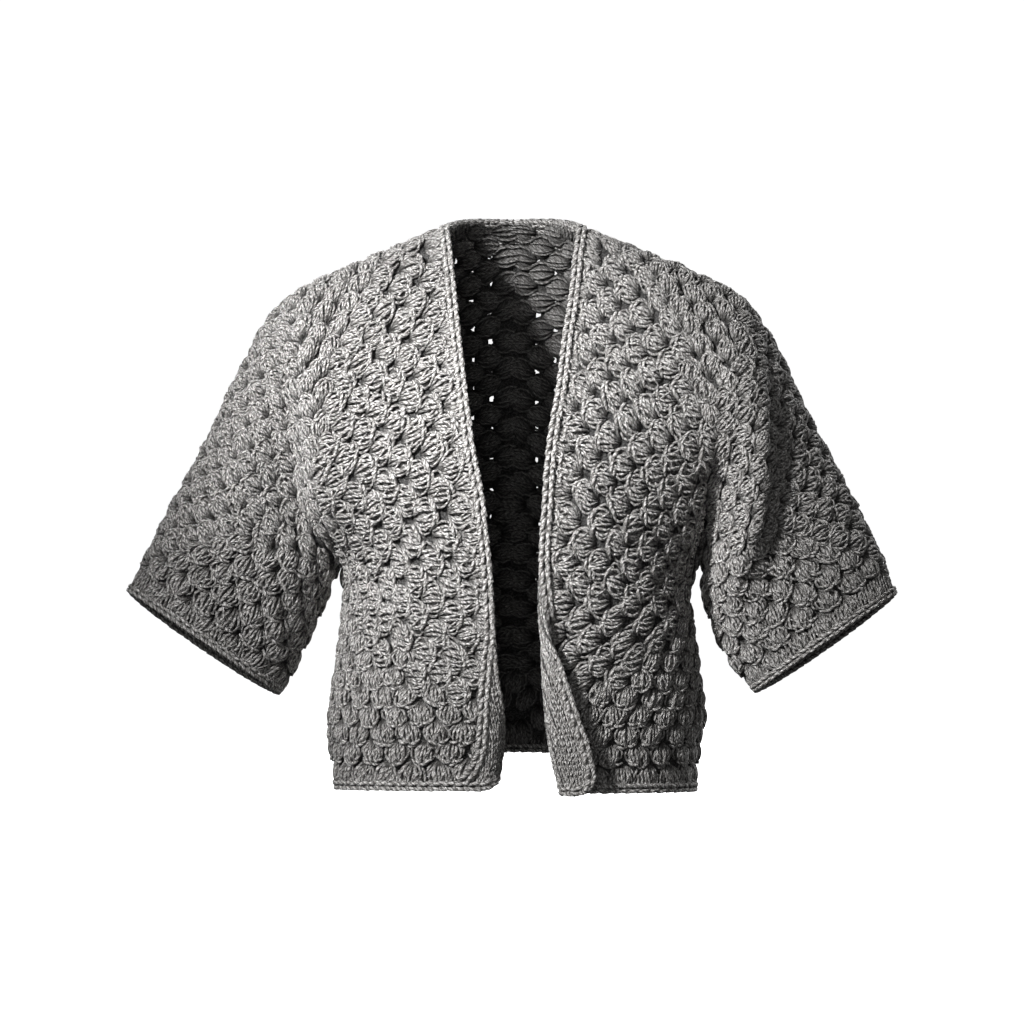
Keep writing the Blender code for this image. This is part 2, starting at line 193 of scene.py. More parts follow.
LEFT = {
    "sign": 1,
    "opening": [
        Place(46, -101, -551),
        Place(35, -104, -503),
        Place(30, -106, -453),
        Place(27, -107, -390),
        Place(24.5, -107, -339),
        Place(27, -105, -289),
        Place(32, -96, -225),
        Place(42, -77, -165),
        Place(48, -58, -118),
        Place(55, -38, -76),
        Place(60, -18, -33),
        Place(63, -1, -9),
        Place(64, 15, 1),
    ],
    "neck": [
        Place(0, 64, 14),
        Place(24, 60, 14),
        Place(43, 50, 12),
        Place(57, 33, 7),
        Place(64, 15, 1),
    ],
    "side": [
        Place(178, 0, -564),
        Place(182, 0, -530),
        Place(188, 0, -492),
        Place(185, 0, -458),
        Place(178, 0, -409),
        Place(174, 0, -366),
        Place(184, 0, -333),
    ],
    "arm_front": [
        Place(184, 0, -333),
        Place(186, -24, -315),
        Place(187, -45, -289),
        Place(190, -58, -261),
        Place(197, -64, -235),
        Place(203, -67, -203),
        Place(209, -65, -165),
        Place(216, -53, -126),
        Place(223, -34, -96),
        Place(228, -15, -79),
        Place(230, 0, -76),
    ],
    "arm_back": [
        Place(184, 0, -333),
        Place(187, 24, -318),
        Place(190, 44, -293),
        Place(194, 59, -263),
        Place(199, 67, -230),
        Place(204, 69, -195),
        Place(210, 64, -158),
        Place(217, 52, -123),
        Place(223, 34, -95),
        Place(228, 15, -79),
        Place(230, 0, -76),
    ],
    "sleeve_top": [
        Place(230, 0, -76),
        Place(246, 0, -97),
        Place(267, 0, -134),
        Place(289, 0, -183),
        Place(313, 0, -229),
        Place(344, 0, -287),
        Place(365, 0, -332),
        Place(379, 0, -369),
    ],
    "sleeve_under": [
        Place(184, 0, -333),
        Place(187, 0, -345),
        Place(192, 0, -377),
        Place(203, 0, -410),
        Place(220, 0, -441),
        Place(243, 0, -464),
    ],
    "rolls": [
        Roll(-330, 7, 0, 1),
        Roll(-385, 7, 10, 1),
        Roll(-427, 7, 29, 1),
        Roll(-467, 7.5, 41, 1),
        Roll(-502, 8, 51, 1),
        Roll(-560, 8.5, 53, 1),
    ],
    "folds": [
        [
            Fold(228, -120, 4, 30, 14),
            Fold(234, -165, 14, 34, 11),
            Fold(238, -215, 19, 26, 10),
            Fold(238, -255, 21, 20, 10),
            Fold(233, -290, 20, 18, 11),
            Fold(224, -330, 15, 16, 13),
            Fold(212, -375, 4, 14, 16),
        ],
        [
            Fold(207, -215, 0, 16, 12),
            Fold(200, -240, -7, 12, 11),
            Fold(196, -270, -12, 11, 12),
            Fold(192, -305, -11, 10, 12),
            Fold(189, -330, -3, 8, 10),
        ],
    ],
}

BODY_BOWS = [
    Bow(0.00, 2.3, 2.0, 0, 0),
    Bow(0.35, 2.3, 2.0, 0, 0),
    Bow(0.45, 2.2, 1.6, 1, 0),
    Bow(0.60, 2.2, 1.25, 3, 0),
    Bow(0.75, 2.0, 1.1, 6, 2),
    Bow(0.86, 1.9, 1.0, 8, 5),
    Bow(0.93, 1.7, 1.0, 7, 7),
    Bow(0.97, 1.5, 1.0, 5, 4),
    Bow(1.00, 1.4, 1.0, 0, 0),
]

# The height at which rows start to end at the armhole, the share of the height up to which rows lie
# level, and how rows drop towards the shoulder
UNDERARM_HEIGHT = -335.0
HEM_LEVEL_SHARE = 0.3
SHOULDER_DROP = 0.07
SHOULDER_DROP_POWER = 10

# The neck's share of the back's top row, how far down the back that row still tells, and the length of
# the opening that a front's last rows take up
NECK_SHARE = 0.29
NECK_FADE = 105.0
FRONT_NECK_ROWS = 18.0

# The radius of the lower corner on the opening and the hem
CORNER_RADIUS = 24.0

# The plain lower corner of the wearer's right front: its width past the border, the height where it
# starts, and the height over which it widens
PLAIN_WIDTH = 15.0
PLAIN_FROM = -420.0
PLAIN_OVER = 80.0

# The rope beside that corner: where it starts, its length from the edge, how it turns in above the hem,
# and how high it stands
ROPE_FROM = -375.0
ROPE_START = 4.0
ROPE_TURN_FROM = -505.0
ROPE_TURN_OVER = 45.0
ROPE_TURN = 16.0
ROPE_LIFT = 1.5
ROPE_RAISED = 1.0

# The rope's lowest row, and the column of the front that its height is read on
ROPE_ROW = 2
ROPE_COLUMN = BORDER_STEPS + 4

# The cuff's oval: half its depth, and how far its front and back edges lie along the sleeve
CUFF_DEPTH = 46.0
CUFF_FRONT_SHIFT = -8.0
CUFF_BACK_SHIFT = 14.0
CUFF_ROUNDNESS = 0.85

# How a row is drawn: its steps, its rolled edge's steps, the steps that give the edge's direction, and
# the least cloth taken up that counts as a roll
ROW_STEPS = 80
ROLL_STEPS = 24
EDGE_STEPS = 6
LEAST_ROLL = 0.5

# The rows and columns that the rounded lower corner may move
CORNER_GRID_ROWS = 24
CORNER_GRID_COLUMNS = 16

# Over what depth from the side the folds fade in, and how much of each shows behind the side
FOLD_FADE = 25.0
FOLD_BEHIND = 0.7

# Clusters: how far apart the rounds are, and how far apart the clusters in a round are
FRONT_ROUND, FRONT_PITCH = 17.3, 36.0
BACK_ROUND, BACK_PITCH = 18.0, 30.0
HEM_ROUND, HEM_PITCH = 16.6, 27.5
TOP_ROUND, TOP_PITCH = 17.3, 29.0
SLEEVE_ROUND, SLEEVE_PITCH = 16.6, 31.0

# The corners between rounds: how high the hem's rounds stand at the opening, and how each corner curves
CORNER_ROWS = 57.0
TOP_CORNER_POWER = 2.0
HEM_CORNER_POWER = 1.4

# A panel's heights are read along one column, and directions between places this far to either side
READ_COLUMN = 38
NEARBY = 2.0
SIDE_MARGIN = 4.0

# A sleeve's rounds, the steps tried along each, how far up from the cuff they go, the step that gives a
# direction, and the tries that find a place
SLEEVE_ROUNDS = 20
SLEEVE_STEPS = range(-1, 14)
SLEEVE_REACH = 360.0
SLEEVE_NEARBY = 3.0
DAMPED_TRIES = 3
FREE_TRIES = 2

# The distances between clusters at which one is dropped, at which a bare place gets one, and at which
# two push each other apart; how often and how strongly they push; and a distance that never pushes
CROWDED = 14.0
BARE = 18.0
RELAXED = 25.0
PUSHES = 14
PUSH = 5.0
FAR = 1e3

# The net of places that a cluster's strands lie by: its rows, and its steps as shares of the cluster
PATCH = 5
PATCH_ACROSS = 0.27
PATCH_ALONG = 0.56

# The yarn of a cluster: the strands that fan over it, their thickness at a common pitch, the height of
# its dome, the depth of its gather, and its form as shares of the cluster's size
FAN_STRANDS = 9
FAN_POINTS = 6
STRAND_RADIUS = 1.62
COMMON_PITCH = 31.0
DOME = 5.2
GATHER_DEPTH = 2.6
GATHER = -0.95
HOLE = GATHER - 0.1
FAN_LENGTH = 1.42
BODY_LENGTH = 1.58
HALF_WIDTH = 0.445
# The painted shade that a cluster's body gets beyond that of the strands over it
BODY_SHADE = 0.15

# How wide the painted shade round a gather is at its darkest, and over what length past it that painted
# shade fades out
GATHER_SHADE_RADIUS = 3.2
GATHER_SHADE_FADE = 8.5

# How far the cloth lies under the solid's face, and the share of that under a border
SUNK = 2.4
BAND_SUNK_SHARE = 0.4

# A loop on a cluster's rounded end: its middle across, its distance along, half its width, and how far
# it lies under the dome's height
Loop = namedtuple("Loop", "middle distance half lower")
END_LOOPS = [
    Loop(-0.20, 0.35, 0.20, 1.0),
    Loop(0.15, 0.45, 0.22, 0.6),
    Loop(-0.10, 0.56, 0.20, 2.0),
    Loop(0.23, 0.27, 0.18, 1.6),
]

# A strand's section, in degrees and in turns of its map, a body's turns, and the margin of a bake's cell
STRAND_FROM, STRAND_TO = -25, 205
STRAND_TURNS = 0.64
BODY_TURNS = 2.5
CELL_MARGIN = 0.05

# Openings in the back: none below the first height, all of them above the second
NO_HOLES_BELOW = -560
ALL_HOLES_ABOVE = -260

# Where the wearer's left front is rolled, and shows its plain wrong side
ROLLED_TO = 100
ROLLED_BELOW = -345

# A plait's stitch: its length, half its width, its strands' radius and how high they stand
PLAIT_STEP = 7.2
PLAIT_HALF = 2.6
PLAIT_RADIUS = 1.5
PLAIT_LIFT = 1.9

# The posts of a border: how far apart they stand, their slant, thickness and height over the cloth
POST_STEP = 4.0
POST_SLANT = 3.0
POST_RADIUS = 1.65
POST_LIFT = 0.9

# Half the width of the plait on a free edge: on the fronts, on the hem, and on cuffs and neck
FRONT_EDGE = 4.5
HEM_EDGE = 4.0
OTHER_EDGE = 3.4

# How far in and up that plait lies, as shares of half its width, and how far in the rim's plait lies
EDGE_IN = 0.85
EDGE_UP = 0.4
RIM_IN = 1.6

# The plaits in the neck's border
NECK_ROWS = 5

# Plain rows at the lower corners: the first, the step to the next, half a row's width, its height over
# the cloth, the cloth's row that they are measured on, and the fewest of its points that make one
PLAIN_FIRST = 3.5
PLAIN_STEP = 4.4
PLAIN_HALF = 2.1
PLAIN_LIFT = 1.4
PLAIN_READ_ROW = 30
LEAST_POINTS = 4

# How far past the left front's roll the plain rows reach, and how far above its table's heights
PLAIN_PAST_ROLL = 12
PLAIN_ABOVE_ROLL = 20

# The seam down the back: half its width, and how high it stands over the cloth
SEAM_HALF = 3.0
SEAM_LIFT = 1.2

# A border's cloth is a little longer than its area over its width, since it bends
BAND_SLACK = 1.02

# The starts of the chance spreads
CLUSTER_SEEDS = {"right": 11, "left": 12}
BORDER_SEED = 23

# The yarn's twist, and how its fibres slant across it
PLY_LENGTH = 6.5
PLIES = 2
FIBRE_SLANT = 1.5

# Tones of the yarn's fibres and of the painted shade in its ply grooves and round its gathers, each with its
# warmth, how light the borders are beside the clusters, and the wrong side's lightness, painted darker as
# shade
Tone = namedtuple("Tone", "value warmth")
MIDDLE_FIBRES = Tone(0.29, 0.05)
PALE_FIBRES = Tone(0.95, 0.015)
DARK_FIBRES = Tone(0.065, 0.10)
PLY_GROOVE_SHADE = Tone(0.09, 0.09)
HOLLOW_SHADE = Tone(0.012, 0.15)
BORDER_LIGHTNESS = 1.12
INSIDE_SHADED_LIGHTNESS = 0.62

# The studio, in metres: the floor's height and radius, the bend at its edge, and the dome above it
FLOOR_LEVEL = -0.80
FLOOR_RADIUS = 9.0
FLOOR_BEND = 1.0
DOME_BASE = 1.0
DOME_HEIGHT = 9.0
DOME_RADIUS = 10.0
DOME_SIDES = 48

# Lights, in metres and watts: two narrow keys from the upper left, and wide round ones
Key = namedtuple("Key", "name power target")
Fill = namedtuple("Fill", "name place size power")
KEY_PLACE = (-1.05, -1.18, 0.66)
KEY_ANGLE = 22
KEY_SIZE = 0.16
KEYS = [
    Key("key_chest", 234, (-0.05, -0.1, -0.09)),
    Key("key_waist", 145, (-0.08, -0.1, -0.42)),
]
FILLS = [
    Fill("fill_front", (-0.6, -3.0, 0.5), 2.0, 7),
    Fill("fill_right", (1.9, 2.0, 0.5), 1.5, 45),
    Fill("back_upper", (-0.3, 2.4, 1.2), 1.2, 70),
]
FILL_TARGET = (0, 0, -0.29)
AIR_LIGHT = 0.06

# The camera of the photo: its place in metres, its sensor in millimetres, and its distance in the
# photo's pixels, as the photo's width is
CAMERA_PLACE = (-0.002, -1.8, -0.287)
SENSOR_WIDTH = 36.0
CAMERA_DISTANCE = 1800
PHOTO_WIDTH = 1024
CLIP_END = 60


def smooth_curve(places):
    """A dense line on a smooth curve through a table of places."""
    knots = np.array(places, float)
    padded = np.vstack([2 * knots[0] - knots[1], knots, 2 * knots[-1] - knots[-2]])
    pieces = []
    for i in range(len(knots) - 1):
        before, start, end, after = padded[i : i + 4]
        reach = np.linalg.norm(end - start)
        into = (end - before) * reach / (reach + np.linalg.norm(start - before))
        out_of = (after - start) * reach / (reach + np.linalg.norm(after - end))
        t = np.linspace(0, 1, CURVE_STEPS, endpoint=False)[:, None]
        pieces.append(
            (2 * t**3 - 3 * t**2 + 1) * start
            + (t**3 - 2 * t**2 + t) * into
            + (3 * t**2 - 2 * t**3) * end
            + (t**3 - t**2) * out_of
        )
    return np.vstack(pieces + [knots[-1:]])


def lengths_along(line):
    """The length reached at each point of a line."""
    steps = np.linalg.norm(np.diff(line, axis=0), axis=1)
    return np.concatenate([[0], np.cumsum(steps)])


def read_along(values, lengths, wanted):
    """Threes of numbers that are known at some lengths, read at others."""
    return np.stack([np.interp(wanted, lengths, values[:, axis]) for axis in range(3)], axis=-1)


def at_lengths(line, wanted):
    """Points at given lengths along a line."""
    return read_along(line, lengths_along(line), wanted)


def at_shares(line, shares):
    """Points at given shares of a line's length."""
    return at_lengths(line, np.asarray(shares) * lengths_along(line)[-1])


def column_of(table, key, name, at):
    """A table's column, read at a key between its rows."""
    rows = sorted((getattr(row, key), getattr(row, name)) for row in table)
    keys, values = zip(*rows)
    return np.interp(at, keys, values)


def with_border(border, total, count):
    """Lengths from an edge: a few steps across its border, then even ones over the cloth."""
    across = np.linspace(0, border, BORDER_STEPS, endpoint=False)
    return np.concatenate([across, np.linspace(border, total, count)])


def row_shares():
    """Each row's share of the height up a panel, as the solids count it."""
    rows = with_border(1, TABLE_ROWS_BELOW_ARM, ROWS_BELOW_ARM)
    last = TABLE_ROWS_BELOW_ARM + TABLE_ROWS_BESIDE_ARM
    beside = np.linspace(TABLE_ROWS_BELOW_ARM, last, ROWS_BESIDE_ARM + 1)
    return np.concatenate([rows, beside[1:]]) / last


def outer_places(half, arm):
    """The outer end of each row, from the hem up the side and round the armhole to the shoulder tip."""
    side = smooth_curve(half["side"])
    below = at_lengths(side, with_border(HEM_BORDER, lengths_along(side)[-1], ROWS_BELOW_ARM))
    beside = at_shares(smooth_curve(half[arm]), np.linspace(0, 1, ROWS_BESIDE_ARM + 1))
    return np.vstack([below, beside[1:]])


def inner_places(line, top_depth, top_rows):
    """The inner end of each row, on the opening or the centre back."""
    total = lengths_along(line)[-1]
    arm = np.interp(UNDERARM_HEIGHT, line[:, 2], lengths_along(line))
    below = with_border(HEM_BORDER, arm, ROWS_BELOW_ARM)
    beside = np.linspace(arm, total - top_depth, ROWS_BESIDE_ARM - top_rows + 1)[1:]
    upper = np.linspace(total - top_depth, total, top_rows + 1)[1:]
    return at_lengths(line, np.concatenate([below, beside, upper]))


def bowed_row(start, end, share):
    """A row of cloth from its inner end to its outer end, bowed out as the body's form asks."""
    fullness = column_of(BODY_BOWS, "share", "fullness", share)
    return_ = column_of(BODY_BOWS, "share", "return_", share)
    crown = column_of(BODY_BOWS, "share", "crown", share)
    lift = column_of(BODY_BOWS, "share", "lift", share)
    s = np.sin(np.linspace(0, np.pi / 2, ROW_STEPS))
    turn = (1 - s**fullness) ** (1 / return_)
    front = np.sign(start[1] + end[1] - 1e-9)
    level = np.clip((share - HEM_LEVEL_SHARE) / HEM_LEVEL_SHARE, 0, 1)
    drop = (1 - SHOULDER_DROP) * s + SHOULDER_DROP * s**SHOULDER_DROP_POWER
    drop = level * drop + (1 - level) * (1 - turn)
    row = np.empty((len(s), 3))
    row[:, 0] = start[0] + (end[0] - start[0]) * s
    row[:, 1] = end[1] + (start[1] - end[1]) * turn + front * crown * 4 * s * (1 - s)
    row[:, 2] = start[2] + (end[2] - start[2]) * drop + lift * 4 * s * (1 - s)
    return row


def rolled_edge(row, radius, taken, way):
    """The cloth past the row's start, rolled forwards or back on itself, before the row proper."""
    if taken < LEAST_ROLL:
        return row
    along = row[EDGE_STEPS] - row[0]
    along[2] = 0
    along /= np.linalg.norm(along)
    out = way * np.array([along[1], -along[0], 0.0])
    if out[1] * way > 0:
        out = -out
    reach = radius * np.sin(min(taken / radius, np.pi / 2))
    start = row[0] + along * reach
    cut = np.searchsorted(lengths_along(row), reach)
    points = []
    for length in np.linspace(taken, 0, ROLL_STEPS):
        angle = min(length / radius, np.pi)
        straight = max(0, length - np.pi * radius)
        turned = along * radius * np.sin(angle)
        points.append(start - turned + along * straight + out * radius * (1 - np.cos(angle)))
    return np.vstack([points[:-1], [start], row[cut + 1 :]])


def front_column_lengths(total):
    """Where a front row's points lie: over the border, finely beside it, then further apart."""
    fine = FRONT_BORDER + EDGE_STEP * np.arange(EDGE_COLUMNS)
    across = np.linspace(0, FRONT_BORDER, BORDER_STEPS, endpoint=False)
    coarse = np.linspace(fine[-1] + EDGE_STEP, total, FRONT_COLUMNS - EDGE_COLUMNS)
    return np.concatenate([across, fine, coarse])


def front_grid(half):
    """A front from its opening to its side and armhole, with its lower edge rolled."""
    outer = outer_places(half, "arm_front")
    inner = inner_places(smooth_curve(half["opening"]), FRONT_NECK_ROWS, 2 * FINE)
    grid = []
    for start, end, share in zip(inner, outer, row_shares()):
        row = bowed_row(start, end, share)
        roll = {name: column_of(half["rolls"], "up", name, start[2]) for name in Roll._fields}
        row = rolled_edge(row, roll["radius"], roll["taken"], half["rolls"][0].way)
        grid.append(at_lengths(row, front_column_lengths(lengths_along(row)[-1])))
    return np.array(grid)


def rounded_corner(grid, radius):
    """The front with its lowest corner, on the opening and the hem, drawn round."""
    rounded = grid.copy()
    for row in range(CORNER_GRID_ROWS):
        for column in range(CORNER_GRID_COLUMNS):
            out = np.linalg.norm(np.diff(grid[row, : column + 1], axis=0), axis=1).sum()
            up = np.linalg.norm(np.diff(grid[: row + 1, column], axis=0), axis=1).sum()
            away = np.array([radius - out, radius - up])
            if away.min() <= 0:
                continue
            moved = away * away.max() / np.linalg.norm(away) - away
            along = grid[row, column + 1] - grid[row, column]
            upward = grid[row + 1, column] - grid[row, column]
            rounded[row, column] -= moved[0] * along / np.linalg.norm(along)
            rounded[row, column] -= moved[1] * upward / np.linalg.norm(upward)
    return rounded


def back_grid(half, shoulder):
    """The back from its centre to the side, its top row on the neck edge and the front's shoulder row."""
    outer = outer_places(half, "arm_back")
    inner = inner_places(smooth_curve(BACK_CENTRE), NECK_BORDER, FINE)
    neck = at_shares(smooth_curve(half["neck"]), np.linspace(0, 1, NECK_COLUMNS + 1))
    top = np.vstack([neck, shoulder[1:]])
    over_shoulder = lengths_along(shoulder)[1:] / lengths_along(shoulder)[-1]
    shares = np.concatenate(
        [np.linspace(0, NECK_SHARE, NECK_COLUMNS + 1), NECK_SHARE + (1 - NECK_SHARE) * over_shoulder]
    )
    rows = [
        at_shares(bowed_row(start, end, share), shares)
        for start, end, share in zip(inner, outer, row_shares())
    ]
    correction = top - rows[-1]
    heights = lengths_along(inner)
    for height, row in zip(heights, rows):
        row += correction * max(0, 1 - (heights[-1] - height) / NECK_FADE) ** 2
    return np.array(rows)


def cuff_ring(half, count):
    """The cuff's edge, from its lowest point up the front to the top and down the back."""
    low, high = np.array(half["sleeve_under"][-1]), np.array(half["sleeve_top"][-1])
    chord = high - low
    downward = np.array([chord[2], 0, -chord[0]]) / np.linalg.norm(chord)
    angles = np.linspace(0, 2 * np.pi, count, endpoint=False)
    ring = []
    for angle in angles:
        depth = np.sign(np.sin(angle)) * abs(np.sin(angle)) ** CUFF_ROUNDNESS
        shift = CUFF_FRONT_SHIFT if depth > 0 else CUFF_BACK_SHIFT
        place = low + chord * (1 - np.cos(angle)) / 2
        ring.append(place + [0, -CUFF_DEPTH * depth, 0] + downward * shift * abs(depth))
    return np.array(ring)


def sleeve_grid(half, arm_front, arm_back):
    """Rings from the armhole to the cuff, each one closed, starting at the underarm."""
    armhole = np.vstack([arm_front, arm_back[-2:0:-1]])
    cuff = cuff_ring(half, len(armhole))
    top_line, under_line = smooth_curve(half["sleeve_top"]), smooth_curve(half["sleeve_under"])
    last = 1 - CUFF_BORDER / lengths_along(under_line)[-1]
    shares = np.concatenate([np.linspace(0, last, SLEEVE_RINGS), np.linspace(last, 1, BORDER_STEPS + 1)[1:]])
    top, under = at_shares(top_line, shares), at_shares(under_line, shares)
    crest = len(arm_front) - 1
    upward = (1 - np.cos(np.linspace(0, 2 * np.pi, len(armhole), endpoint=False))) / 2
    grid = []
    for number, share in enumerate(shares):
        ring = (1 - share) * armhole + share * cuff
        ring += np.outer(upward, top[number] - ring[crest])
        ring += np.outer(1 - upward, under[number] - ring[0])
        grid.append(ring)
    return np.array(grid)


def fold_lift(crest, points):
    """How far a fold, given along its crest, lifts the cloth at points in the front view."""
    line = np.array(crest, float)
    lift = np.zeros(len(points))
    nearest = np.full(len(points), np.inf)
    for start, end in zip(line, line[1:]):
        run = end[:2] - start[:2]
        share = np.clip(((points - start[:2]) @ run) / (run @ run), 0, 1)
        offset = points - start[:2] - share[:, None] * run
        distance = np.linalg.norm(offset, axis=1)
        lift_here, inner, outer = (start[2:] + share[:, None] * (end[2:] - start[2:])).T
        width = np.where(offset[:, 0] < 0, inner, outer)
        closer = distance < nearest
        lift = np.where(closer, lift_here * np.exp(-((distance / width) ** 2)), lift)
        nearest = np.minimum(distance, nearest)
    return lift


def folded(points, half):
    """Moves the points of the front half of the cloth out or in along its folds."""
    flat = points.reshape(-1, 3).copy()
    seen = np.clip(-flat[:, 1] / FOLD_FADE, 0, 1)
    behind = np.clip(flat[:, 1] / FOLD_FADE, 0, 1)
    for crest in half["folds"]:
        lift = fold_lift(crest, flat[:, [0, 2]])
        flat[:, 1] += (FOLD_BEHIND * behind - seen) * lift
    return flat.reshape(points.shape)


class Cloth:
    """The whole garment's middle surface on shared points, each face marked with its piece."""

    def __init__(self):
        self.points = []
        self.index = {}
        self.faces = []
        self.pieces = []
        self.charts = []

    def point(self, place):
        """The number of the point at a place, which neighbouring grids share."""
        key = tuple(np.round(place, 3))
        if key not in self.index:
            self.index[key] = len(self.points)
            self.points.append(place)
        return self.index[key]

    def add_grid(self, grid, piece_at, flipped, closed=False):
        """Adds a grid's faces, each with its place in the grid and the name of its piece."""
        rows, columns = grid.shape[:2]
        numbers = np.array([[self.point(place) for place in row] for row in grid])
        for i in range(rows - 1):
            for j in range(columns if closed else columns - 1):
                k = (j + 1) % columns
                face = [numbers[i, j], numbers[i, k], numbers[i + 1, k], numbers[i + 1, j]]
                chart = [(j, i), (j + 1, i), (j + 1, i + 1), (j, i + 1)]
                self.faces.append(face[::-1] if flipped else face)
                self.charts.append(chart[::-1] if flipped else chart)
                self.pieces.append(piece_at(i, j))

    def finish(self):
        """Works out the centres, the normals and the search tree, once every grid is in."""
        self.points = np.array(self.points)
        self.faces = np.array(self.faces)
        self.pieces = np.array(self.pieces)
        self.charts = np.array(self.charts, float)
        corners = self.points[self.faces]
        self.centres = corners.mean(axis=1)
        face_normals = np.cross(corners[:, 2] - corners[:, 0], corners[:, 3] - corners[:, 1])
        normals = np.zeros_like(self.points)
        for corner in range(4):
            np.add.at(normals, self.faces[:, corner], face_normals)
        self.normals = normals / np.linalg.norm(normals, axis=1)[:, None]
        smooth = self.normals[self.faces].mean(axis=1)
        self.face_normals = smooth / np.linalg.norm(smooth, axis=1)[:, None]
        self.tree = BVHTree.FromPolygons(self.points.tolist(), self.faces.tolist())

    def nearest(self, places):
        """The places on the cloth nearest to some points, the normals there and the faces."""
        found = np.empty_like(places)
        faces = np.empty(len(places), int)
        for number, place in enumerate(places):
            on_cloth, _, face, _ = self.tree.find_nearest(Vector(place))
            found[number] = on_cloth
            faces[number] = face
        return found, self.face_normals[faces], faces


def between_rows(rows, at):
    """A line read between two neighbouring rows of a grid."""
    low = min(int(at), len(rows) - 2)
    return rows[low] + (at - low) * (rows[low + 1] - rows[low])


class Panel:
    """A grid of cloth read by the length up a column and the length along a row."""

    def __init__(self, grid, border):
        arm_row = BORDER_STEPS + ROWS_BELOW_ARM - 1
        self.grid = grid
        self.border = border
        self.heights = lengths_along(grid[:, READ_COLUMN])
        self.arm = self.heights[arm_row]
        self.top = self.heights[-1]
        self.arm_width = lengths_along(grid[arm_row])[-1]

    def row(self, height):
        return between_rows(self.grid, np.interp(height, self.heights, np.arange(len(self.grid))))

    def width(self, height):
        return lengths_along(self.row(height))[-1]

    def place(self, height, length):
        return at_lengths(self.row(height), [length])[0]

    def directions(self, height, length):
        """The ways up the panel and out to its side at a place."""
        up = self.place(height + NEARBY, length) - self.place(height - NEARBY, length)
        out = self.place(height, length + NEARBY) - self.place(height, length - NEARBY)
        return up, out

    def corner_heights(self, length):
        """Where the corners between rounds lie at a length from the inner edge: the lower and the upper."""
        share = np.clip((length - self.border) / (self.arm_width - self.border), 0, 1)
        low = self.arm - (self.arm - HEM_BORDER - CORNER_ROWS) * (1 - share**HEM_CORNER_POWER)
        high = self.arm + (self.top - self.arm) * (1 - share**TOP_CORNER_POWER)
        return low, high

    def plain_to(self, height, length, plain):
        """How far from the inner edge the border, with its plain corner, reaches at a place."""
        below = PLAIN_FROM - self.place(height, length)[2]
        return self.border + plain * np.clip(below / PLAIN_OVER, 0, 1)


class SleeveSide:
    """Half of a sleeve, front or back, read by the length from the cuff and the length round a ring."""

    def __init__(self, rings):
        self.rings = rings
        self.lines = rings.transpose(1, 0, 2)

    def place(self, from_cuff, around, from_top):
        """A point by its lengths from the cuff and from the sleeve's top or bottom line, with its shares."""
        share = 0.5
        for attempt in range(DAMPED_TRIES + FREE_TRIES):
            line = between_rows(self.lines, share * (len(self.lines) - 1))
            lengths = lengths_along(line)
            ring_at = np.interp(lengths[-1] - from_cuff, lengths, np.arange(len(line)))
            ring = between_rows(self.rings, ring_at)
            width = lengths_along(ring)[-1]
            length = width - around if from_top else around
            reached = np.interp(length, lengths_along(ring), np.linspace(0, 1, len(ring)))
            share = 0.5 * (share + reached) if attempt < DAMPED_TRIES else reached
        inside = 0 <= length <= width and from_cuff <= lengths[-1]
        return at_lengths(ring, [length])[0], share, 1 - from_cuff / lengths[-1], inside


class Clusters:
    """Where each cluster lies: its middle, one pitch along its round and one round of growth."""

    def __init__(self):
        self.middles = []
        self.across = []
        self.growth = []
        self.sizes = []

    def add(self, middle, across, growth, pitch, depth):
        self.middles.append(middle)
        self.across.append(across / np.linalg.norm(across))
        self.growth.append(growth / np.linalg.norm(growth))
        self.sizes.append((pitch, depth))

    def arrays(self):
        return (np.array(part) for part in (self.middles, self.across, self.growth, self.sizes))


def brick_offset(number):
    """Where a round's first cluster lies, as a share of a step: every other round is half a step off."""
    return 0.25 if number % 2 else 0.75


def brick_lengths(total, pitch, number, start=0.0):
    """Even steps along a round."""
    return np.arange(start + pitch * brick_offset(number), total, pitch)


def fill_panel(clusters, panel, depth, pitch, plain=0.0):
    """The three sectors of a front or a back: towards its inner edge, its hem and its shoulder."""
    for number, length in enumerate(np.arange(panel.border + depth / 2, panel.arm_width + depth, depth)):
        for height in brick_lengths(panel.top, pitch, number, HEM_BORDER):
            low, high = panel.corner_heights(length)
            first = panel.plain_to(height, length, plain)
            if low < height < high and first < length < panel.width(height) - SIDE_MARGIN:
                up, out = panel.directions(height, length)
                clusters.add(panel.place(height, length), up, -out, pitch, depth)
    for number, height in enumerate(np.arange(HEM_BORDER + HEM_ROUND / 2, panel.arm, HEM_ROUND)):
        width = panel.width(height)
        for from_side in brick_lengths(width - panel.border, HEM_PITCH, number):
            length = width - from_side
            first = panel.plain_to(height, length, plain)
            if height < panel.corner_heights(length)[0] and length > first:
                up, out = panel.directions(height, length)
                clusters.add(panel.place(height, length), out, -up, HEM_PITCH, HEM_ROUND)
    for number, from_top in enumerate(np.arange(TOP_ROUND / 2, panel.top - panel.arm, TOP_ROUND)):
        height = panel.top - from_top
        width = panel.width(height)
        for from_side in brick_lengths(width, TOP_PITCH, number):
            length = width - from_side
            if height > panel.corner_heights(length)[1]:
                up, out = panel.directions(height, length)
                clusters.add(panel.place(height, length), out, up, TOP_PITCH, TOP_ROUND)


